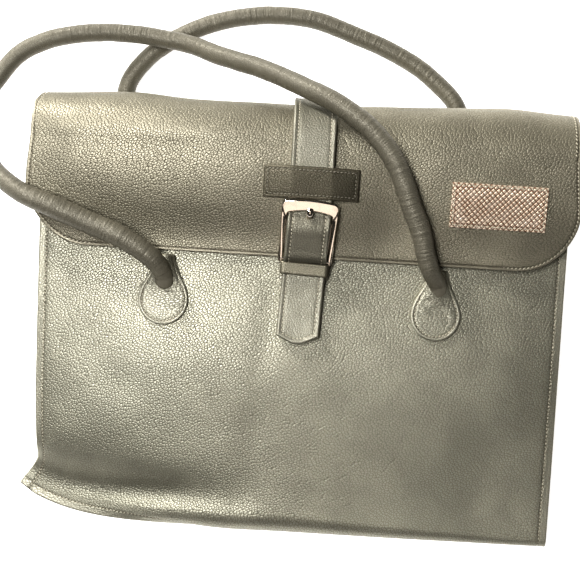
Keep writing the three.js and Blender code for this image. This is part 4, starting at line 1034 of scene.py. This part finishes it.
keeperBase = (float(strapX(strap["keeperUp"])), strap["keeperUp"], keeperLow + keeper["leather"])
keeperRings = leanPlace(keeperPlace, keeperSlope, keeperBase)
keeperPiece = addTube("strapKeeper", keeperRings, shadedKeeperLeather, closed=True)
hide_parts("keeper_loop")
keeperSeams = []
for share in (0.2, 0.8):
    seamZ = keeper["insideHeight"] + keeper["leather"]
    seam = stack(np.linspace(-16.5, 16.5, 30), share * strap["keeperHeight"], seamZ)
    up = np.broadcast_to([0.0, -math.sin(keeperSlope), math.cos(keeperSlope)], seam.shape)
    keeperSeams.append((leanPlace(seam, keeperSlope, keeperBase), up))
addStitches("keeperStitches", keeperSeams, darkThread, pitch=2.7)

# Tab that holds the buckle: a stem under the strap and a loop round the pivot, open in the middle
loopMiddle = 1.95 + tab["leather"] / 2
stemUps = np.linspace(tab["lowUp"], strap["pivotUp"] - tab["stemEnd"], 20)
loopTurn = np.radians(np.linspace(-80, 125, 30))
stem = stack(stemUps, stemZ(stemUps) + tab["leather"] / 2)
loop = loopMiddle * stack(np.cos(loopTurn), np.sin(loopTurn)) + [strap["pivotUp"], strap["pivotZ"]]
tabPath, tabGone = alongPath(np.concatenate([stem, loop]), 1.0)
tabPath = tabPath[::-1, None]
fromEnds = np.minimum(tabGone, tabGone[-1] - tabGone)[::-1, None]
tabWide = (tab["width"] - tab["slot"]) / 2
for hand, low in (("Left", -tab["width"] / 2), ("Right", tab["slot"] / 2)):
    u = spread(tabWide, 1.6)
    place = stack((low + u)[None], tabPath[..., 0] - strap["pivotUp"], tabPath[..., 1])
    place = leanPlace(place, 0.0, (pivotX, strap["pivotUp"], 0.0))
    fromEdge = np.minimum(np.minimum(u, tabWide - u)[None], fromEnds)
    half = rounded(fromEdge, tab["leather"])
    piece = addSheet("buckleTab" + hand, place, half, strapLeather, bump(fromEdge, 1.0))
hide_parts("buckle_tab")

# Buckle frame: a section with bevels carried between an inner and an outer outline, both open at the
# pivot, where they close round its eyes


def outline(points):
    line, gone = alongPath(points, 0.8)
    at = np.linspace(0, gone[-1], 150)
    return np.stack([np.interp(at, gone, line[:, k]) for k in (0, 1)], -1)


def arcPoints(x, y, rx, ry, start, end, count=14):
    turn = np.radians(np.linspace(start, end, count))
    return [(x + rx * math.cos(t), y + ry * math.sin(t)) for t in turn]


def halfOutlines():  # right half of both outlines, from the top's middle down to the eye
    inner, outer = buckle["inside"] / 2, buckle["inside"] / 2 + buckle["side"]
    height, arch = buckle["height"], buckle["arch"]
    low = height - buckle["topBar"]
    eye = (inner + outer) / 2 * buckle["taper"] + 0.4
    corner = outer - 4.5
    top = lambda x: height - arch * 0.42 * (x / outer) ** 2
    outerLine = [(x, top(x)) for x in np.linspace(0, corner, 12)]
    outerLine += arcPoints(corner, float(top(corner)) - 4.6, 4.5, 4.6, 88, 2)
    outerLine += [(outer - 0.9, 18), (eye + 2.6, 1.0)] + arcPoints(eye, 0, 2.6, 2.6, 0, -90)
    under = lambda x: low + arch * 0.3 - arch * 0.62 * (x / inner) ** 2
    innerLine = [(x, under(x)) for x in np.linspace(0, inner - 1.6, 10)]
    innerLine += arcPoints(inner - 1.6, low - arch * 0.32 - 1.4, 1.6, 1.6, 88, 0, 6)
    innerLine += [(inner - 0.7, 16), (eye - 2.3, 3.0)] + arcPoints(eye, 0, 2.3, 2.6, 170, 270, 8)
    return outline(outerLine), outline(innerLine)


mirror = lambda line: np.concatenate([line[::-1] * [-1, 1], line[1:]])
outerLine, innerLine = (mirror(line) for line in halfOutlines())
barAcross = outerLine - innerLine
barWidth = np.linalg.norm(barAcross, axis=1)[:, None]
toOuter = barAcross / np.maximum(barWidth, 1e-6)
# the bar's section, from its side to its top: distance in from an outline, and share of half the thickness
bevel = [(0.0, -0.5), (0.0, 0.25), (0.25, 0.62), (0.7, 0.72), (0.9, 0.98), (1.35, 1.0)]
section = [(inset, z, False) for inset, z in bevel] + [(inset, z, True) for inset, z in bevel[::-1]]
section += [(0.5, -1.0, True), (0.5, -1.0, False)]
frameLines = []
for inset, z, fromOuter in section:
    inset = np.minimum(inset, barWidth * 0.48)
    place = outerLine - toOuter * inset if fromOuter else innerLine + toOuter * inset
    frameLines.append(stack(place[:, 0], place[:, 1], z * buckle["thickness"] / 2))
frameRings = np.stack(frameLines, 1)
frameX, frameUp, frameZ = np.moveaxis(frameRings, -1, 0)
# the plate at the top is a little crowned, and the side bars are a little hollow
topness = smooth(frameUp - buckle["height"] + buckle["topBar"], -8, -2.5)
share = clamp((np.abs(frameX) - np.abs(innerLine[:, 0])[:, None]) / np.maximum(barWidth, 0.5))
frameZ -= np.where(frameZ > 0.5, (1 - topness) * 0.9 * (2 * share - 1) ** 2, 0)
frameZ += 0.35 * topness * np.where(frameZ > 0, 1, 0) * (1 - (frameX / 22.5) ** 2)
inBuckle = lambda points: leanPlace(points, frameTilt, (pivotX, strap["pivotUp"], strap["pivotZ"]))
framePiece = addTube("buckleFrame", inBuckle(frameRings), nickel)
turn, radius = circle(18), buckle["pivotRadius"]
bar = stack(np.linspace(-19.5, 19.5, 14)[:, None], radius * np.sin(turn), radius * np.cos(turn))
pivotBar = addTube("bucklePivot", inBuckle(bar), nickel)
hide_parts("buckle_frame")

# Prong: an oval rod along its line with a rounded tip, and an eye round the pivot
prong = {
    "radius": 1.3,
    "wide": 1.6,
    "tip": 0.86,
    "eyeRadius": 2.6,
    # share of the frame's height, and how far the line is above the pivot's middle, in prong radii
    "line": [
        (0.03, 0), (0.25, -1.2), (0.45, -1.4), (0.6, -1.0),
        (0.67, 0.2), (0.73, 1.9), (0.79, 2.68), (0.87, 2.6),
    ],
}
shares = np.linspace(0.06, prong["tip"] - 0.03, 60)
shares = np.concatenate([shares, prong["tip"] - 0.03 * (1 - np.linspace(0.15, 1, 7))])
near = clamp((prong["tip"] - shares) * buckle["height"] / prong["radius"])
radius = prong["radius"] * np.sqrt(np.maximum(1 - (1 - near) ** 2, 0.02))
radius = (radius * (1 + 0.3 * smooth(shares, 0.72, 0.78)))[:, None]
turn = circle(16)
prongUp = (shares * buckle["height"])[:, None]
prongZ = readTable(prong["line"], shares)[:, None] * prong["radius"]
rod = stack(radius * np.cos(turn) * prong["wide"], prongUp, prongZ + radius * np.sin(turn))
prongPiece = addTube("buckleProng", inBuckle(rod), nickel)
eyeTurn, ringTurn = circle(28)[:, None], circle(12)
eyeRadius = prong["eyeRadius"] + 0.65 * np.cos(ringTurn)
eye = stack(1.7 * np.sin(ringTurn), eyeRadius * np.cos(eyeTurn), eyeRadius * np.sin(eyeTurn))
prongEye = addTube("buckleProngEye", inBuckle(eye), nickel, closed=True)
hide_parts("buckle_prong")
print("buckle made")

# Handles
handles = {
    "radius": 7.3,
    "spacing": 217.0,
    "roundUp": 183.0,
    "neck": 36.0,
    "tabWidth": 40.0,
    "tabLeather": 2.2,
    "stitchIn": 3.1,
    "arch": 8.0,
    "roots": [(0.22, 0.5), (0.36, 0.68)],  # where each end meets its tab, as shares of the neck
    "sides": 28,
    "foldMap": 0.007,  # metres of the leather's map to a radian round the roll
    "backHeight": 347.0,
    "backZ": 7.0,
}
frontRoute = [  # x, up and z of the roll's middle, and its girth as a share of the usual
    (-117, 214, 74.5, 1.12), (-142, 229.5, 78, 1.2), (-172, 241, 75, 1.22), (-204, 253, 75.5, 1.18),
    (-221, 259, 73.5, 1.12), (-235, 266.5, 68, 1.06), (-249.5, 278, 57, 1.02), (-264, 296, 43, 1),
    (-271, 320, 32.5, 1), (-267, 340, 28, 1), (-257, 357, 26, 1), (-243, 376, 24, 1),
    (-220.5, 389.5, 22.5, 1), (-197, 396, 22, 1), (-172, 399, 22, 1), (-150, 399, 22.5, 1),
    (-126, 396.5, 24, 1), (-101.5, 392, 28, 1.02), (-77, 383, 38, 1.04), (-39.5, 371, 56, 1.06),
    (-3, 354.6, 76, 1.08), (24, 341, 87, 1.1), (48, 323, 91, 1.12), (65, 304, 91, 1.13),
    (74, 287, 89, 1.13), (83, 265, 85.5, 1.12), (91, 248, 82, 1.1), (96.5, 230, 77.5, 1.06),
    (102, 217, 73, 1.03),
]
backRoute = [  # across, and up as a share of the case's height
    (-0.53, 0.65), (-0.62, 0.8), (-0.69, 0.93), (-0.728, 1.022), (-0.65, 1.104),
    (-0.467, 1.179), (-0.25, 1.218), (-0.03, 1.22), (0.15, 1.188), (0.337, 1.143),
    (0.466, 1.094), (0.574, 1.026), (0.6, 0.93), (0.57, 0.8), (0.52, 0.65),
]
neckEnd = 1.8  # the neck's end, where v is -1 at the tab's low end and 0 at its widest


def tabHalfWidth(v):
    radius = handles["tabWidth"] / 2
    neck = mix(radius, 0.36 * radius, smooth(v, 0, neckEnd))
    return np.where(v <= 0, radius * np.sqrt(np.maximum(1 - v * v, 0)), neck)


def makeTab(name, x, heightAt, side):
    # drop shape: a half circle below, easing to the neck; its rim is where the thickness closes
    radius, middleUp, inset = handles["tabWidth"] / 2, handles["roundUp"], handles["stitchIn"]
    v = np.concatenate([-np.cos(np.linspace(0, math.pi / 2, 22)), np.linspace(0.06, neckEnd, 28)])[::-1, None]
    c = -np.cos(np.linspace(0, math.pi, 41))
    half = tabHalfWidth(v)
    px = x + c * half
    up = middleUp + np.where(v < 0, v * radius, v / neckEnd * handles["neck"]) + zeros(px.shape)
    inRound = np.maximum(radius - np.hypot(px - x, up - middleUp), 0)
    fromEdge = np.where(up < middleUp, inRound, (1 - np.abs(c)) * half)
    fromEdge[0] = 0
    rim = 0.35 * bump(fromEdge - 1.2, 1.0) - 0.35 * bump(fromEdge - inset, 0.8)
    # the leather lifts as an arch into the roll, with fine folds where it starts to lift
    arch = handles["arch"] * smooth(v, 0.3, 1.45) * np.cos(c * math.pi / 2) ** 1.2
    folded = smooth(v, -0.55, 0.25) * (1 - smooth(v, 0.5, 1.0)) * smooth(fromEdge, 4, 9)
    folds = 0.55 * waves(px * 0.35 + up * 0.2, up, 2.6, 51) * folded
    thick = handles["tabLeather"]
    middle = stack(px, up, heightAt(px, up) + side * (case["gap"] + thick / 2 + rim + arch + folds))
    shade = 0.9 * bump(fromEdge, 1.1) - 0.8 * bump(fromEdge - inset + 0.4, 0.7)
    piece = addSheet(name, middle, rounded(fromEdge, thick), tabLeather, shade)
    turn = np.radians(np.linspace(0, -180, 40))
    neckV = np.linspace(1.25, 0.03, 18)
    neckHalf = tabHalfWidth(neckV) - inset
    neckUp = middleUp + neckV / neckEnd * handles["neck"]
    seamX = np.concatenate([x + neckHalf, x + (radius - inset) * np.cos(turn), x - neckHalf[::-1]])
    seamUp = np.concatenate([neckUp, middleUp + (radius - inset) * np.sin(turn), neckUp[::-1]])
    seam = stack(seamX, seamUp, heightAt(seamX, seamUp) + side * (case["gap"] + thick + 0.05))
    return seam, normalsOf(heightAt, seamX, seamUp) * side


def makeHandle(name, route, heightAt, side, node):
    def root(end, away, lift):  # a place over a tab's neck, away from the tab's widest place
        up = handles["roundUp"] + handles["neck"] * away
        return end, up, float(heightAt(end, up)) + side * (case["gap"] + lift), 1.0

    ends = [-handles["spacing"] / 2, handles["spacing"] / 2]
    lifts = [handles["tabLeather"] * 0.6, 0.62 * handles["radius"] + case["gap"]]
    roots = zip(ends, handles["roots"])
    first, last = ([root(end, *pair) for pair in zip(aways, lifts)] for end, aways in roots)
    line, gone = throughPoints(first + route + last[::-1], 1.5)
    centre, girth = line[:, :3].copy(), line[:, 3]
    tangent = unit(np.gradient(centre, axis=0))
    aside = unit(np.cross(tangent, [0.0, 0.0, 1.0]))
    over = unit(np.cross(aside, tangent))
    fromEnd = np.minimum(gone, gone[-1] - gone)
    leaving = clamp(fromEnd / (0.75 * handles["neck"]))
    cap = np.sqrt(np.maximum(1 - (1 - clamp(fromEnd / 8.0)) ** 2, 0.0025))
    wide = handles["radius"] * girth * cap * (1.02 - 0.02 * smooth(leaving, 0, 0.8))
    tall = handles["radius"] * girth * cap * (0.5 + 0.5 * smooth(leaving, 0, 0.7))
    centre[:, 2] = np.maximum(centre[:, 2], tall + 0.3)
    turn = circle(handles["sides"]) + math.pi / 2
    folds = 0.13 * waves(gone[:, None] + 3 * np.sin(turn), turn * 5, 2.4, 41)
    folds = folds + 0.22 * waves(gone[:, None] + 5 * np.cos(turn), turn * 7, 11, 42)
    folds = folds * smooth(leaving, 0.3, 1.0)[:, None]
    rings = centre[:, None] + aside[:, None] * ((wide[:, None] + folds) * np.cos(turn))[..., None]
    rings = rings + over[:, None] * ((tall[:, None] + folds) * np.sin(turn))[..., None]
    ownMap = stack(gone[:, None] * millimetre, np.abs(turn - math.pi * 1.5) * handles["foldMap"])
    paler = 1.3 * (1 - smooth(fromEnd, 2, 34))[:, None] + zeros(folds.shape)  # towards the tabs
    piece = addTube(name, rings, handleLeather, uv=ownMap, edge=paler)
    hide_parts(node)
    seams = [makeTab(name + "Tab" + hand, x, heightAt, side) for x, hand in zip(ends, ("Left", "Right"))]
    addStitches(name + "Stitches", seams, thread, pitch=2.8)
    print(name, "made,", round(float(gone[-1])), "mm long")
    return piece


backUnder = lambda x, up: backHeight(np.asarray(up, float)) + np.asarray(x, float) * 0
backPoints = [(a * case["halfWidth"], u * handles["backHeight"], handles["backZ"], 1.0) for a, u in backRoute]
frontHandle = makeHandle("frontHandle", frontRoute, frontZ, 1, "front_handle")
backHandle = makeHandle("backHandle", backPoints, backUnder, -1, "back_handle")

# Floor
floorSize = 6.0
floorMesh = bpy.data.meshes.new("studioFloor")
floorCorners = [(x * floorSize, y * floorSize, 0) for x, y in ((-1, -1), (1, -1), (1, 1), (-1, 1))]
floorMesh.from_pydata(floorCorners, [], [(0, 1, 2, 3)])
floorMaterial, tree, shader = newMaterial("paleFloor")
speck = noiseNode(tree, objectPlace(tree), 9, 2, 0.5).outputs["Fac"]
floorLook = {
    "Base Color": mixColours(tree, speck, (0.93, 0.93, 0.93), (0.96, 0.96, 0.96)),
    "Roughness": 0.85,
    "Emission Color": (1.0, 1.0, 1.0, 1.0),
    "Emission Strength": 0.62,
}
fill(tree, shader, floorLook)
floorMesh.materials.append(floorMaterial)
floor = bpy.data.objects.new("studioFloor", floorMesh)
bpy.context.collection.objects.link(floor)

# Camera straight above, turned as the photograph is, and the studio's light
view = {"x": -0.00825, "y": 0.1315, "height": 1.160, "roll": 3.5, "lens": 85.75}
lighting = {
    "sun": 2.4,
    "sunFrom": (-0.7, 1.0, 0.42),
    "sunSpread": math.radians(8),
    "soft": 29.5,
    "card": 0.62,
    "room": 0.04,
}
link = bpy.context.collection.objects.link
cameraData = bpy.data.cameras.new("topCamera")
cameraData.lens = view["lens"]
cameraData.sensor_width = 36.0
cameraData.sensor_fit = "HORIZONTAL"
camera = bpy.data.objects.new("topCamera", cameraData)
camera.location = (view["x"], view["y"], view["height"])
camera.rotation_euler = (0.0, 0.0, math.radians(view["roll"]))
link(camera)
bpy.context.scene.camera = camera


def addLight(name, kind, power, colour, place, direction, **settings):  # aimed along a direction
    data = bpy.data.lights.new(name, kind)
    data.energy = power
    data.color = colour
    for setting, value in settings.items():
        setattr(data, setting, value)
    x, y, z = direction
    lamp = bpy.data.objects.new(name, data)
    lamp.location = place
    lamp.rotation_euler = (math.atan2(math.hypot(x, y), -z), 0.0, math.atan2(y, x) - math.pi / 2)
    link(lamp)


white, warm = (1.0, 1.0, 1.0), (1.0, 0.9, 0.8)
sunward = [-part for part in lighting["sunFrom"]]  # from the sun down to the case
daylight = (1.0, 0.985, 0.955)
addLight("windowLight", "SUN", lighting["sun"], daylight, (0, 0, 0), sunward, angle=lighting["sunSpread"])
box = {"shape": "RECTANGLE", "size": 1.35, "size_y": 0.7}
addLight("softLight", "AREA", lighting["soft"], white, (-0.6, 0.43, 1.9), (0, 0, -1.9), **box)
card = {"shape": "RECTANGLE", "size": 0.5, "size_y": 0.4}
addLight("warmCard", "AREA", lighting["card"], warm, (0.0, -0.63, 1.22), (0.0, 0.825, -1.135), **card)
world = bpy.data.worlds.new("studioRoom")
world.use_nodes = True
world.node_tree.nodes["Background"].inputs["Color"].default_value = (1.0, 0.95, 0.88, 1.0)
world.node_tree.nodes["Background"].inputs["Strength"].default_value = lighting["room"]
bpy.context.scene.world = world
bpy.context.scene.view_settings.view_transform = "Standard"
bpy.context.scene.view_settings.look = "High Contrast"
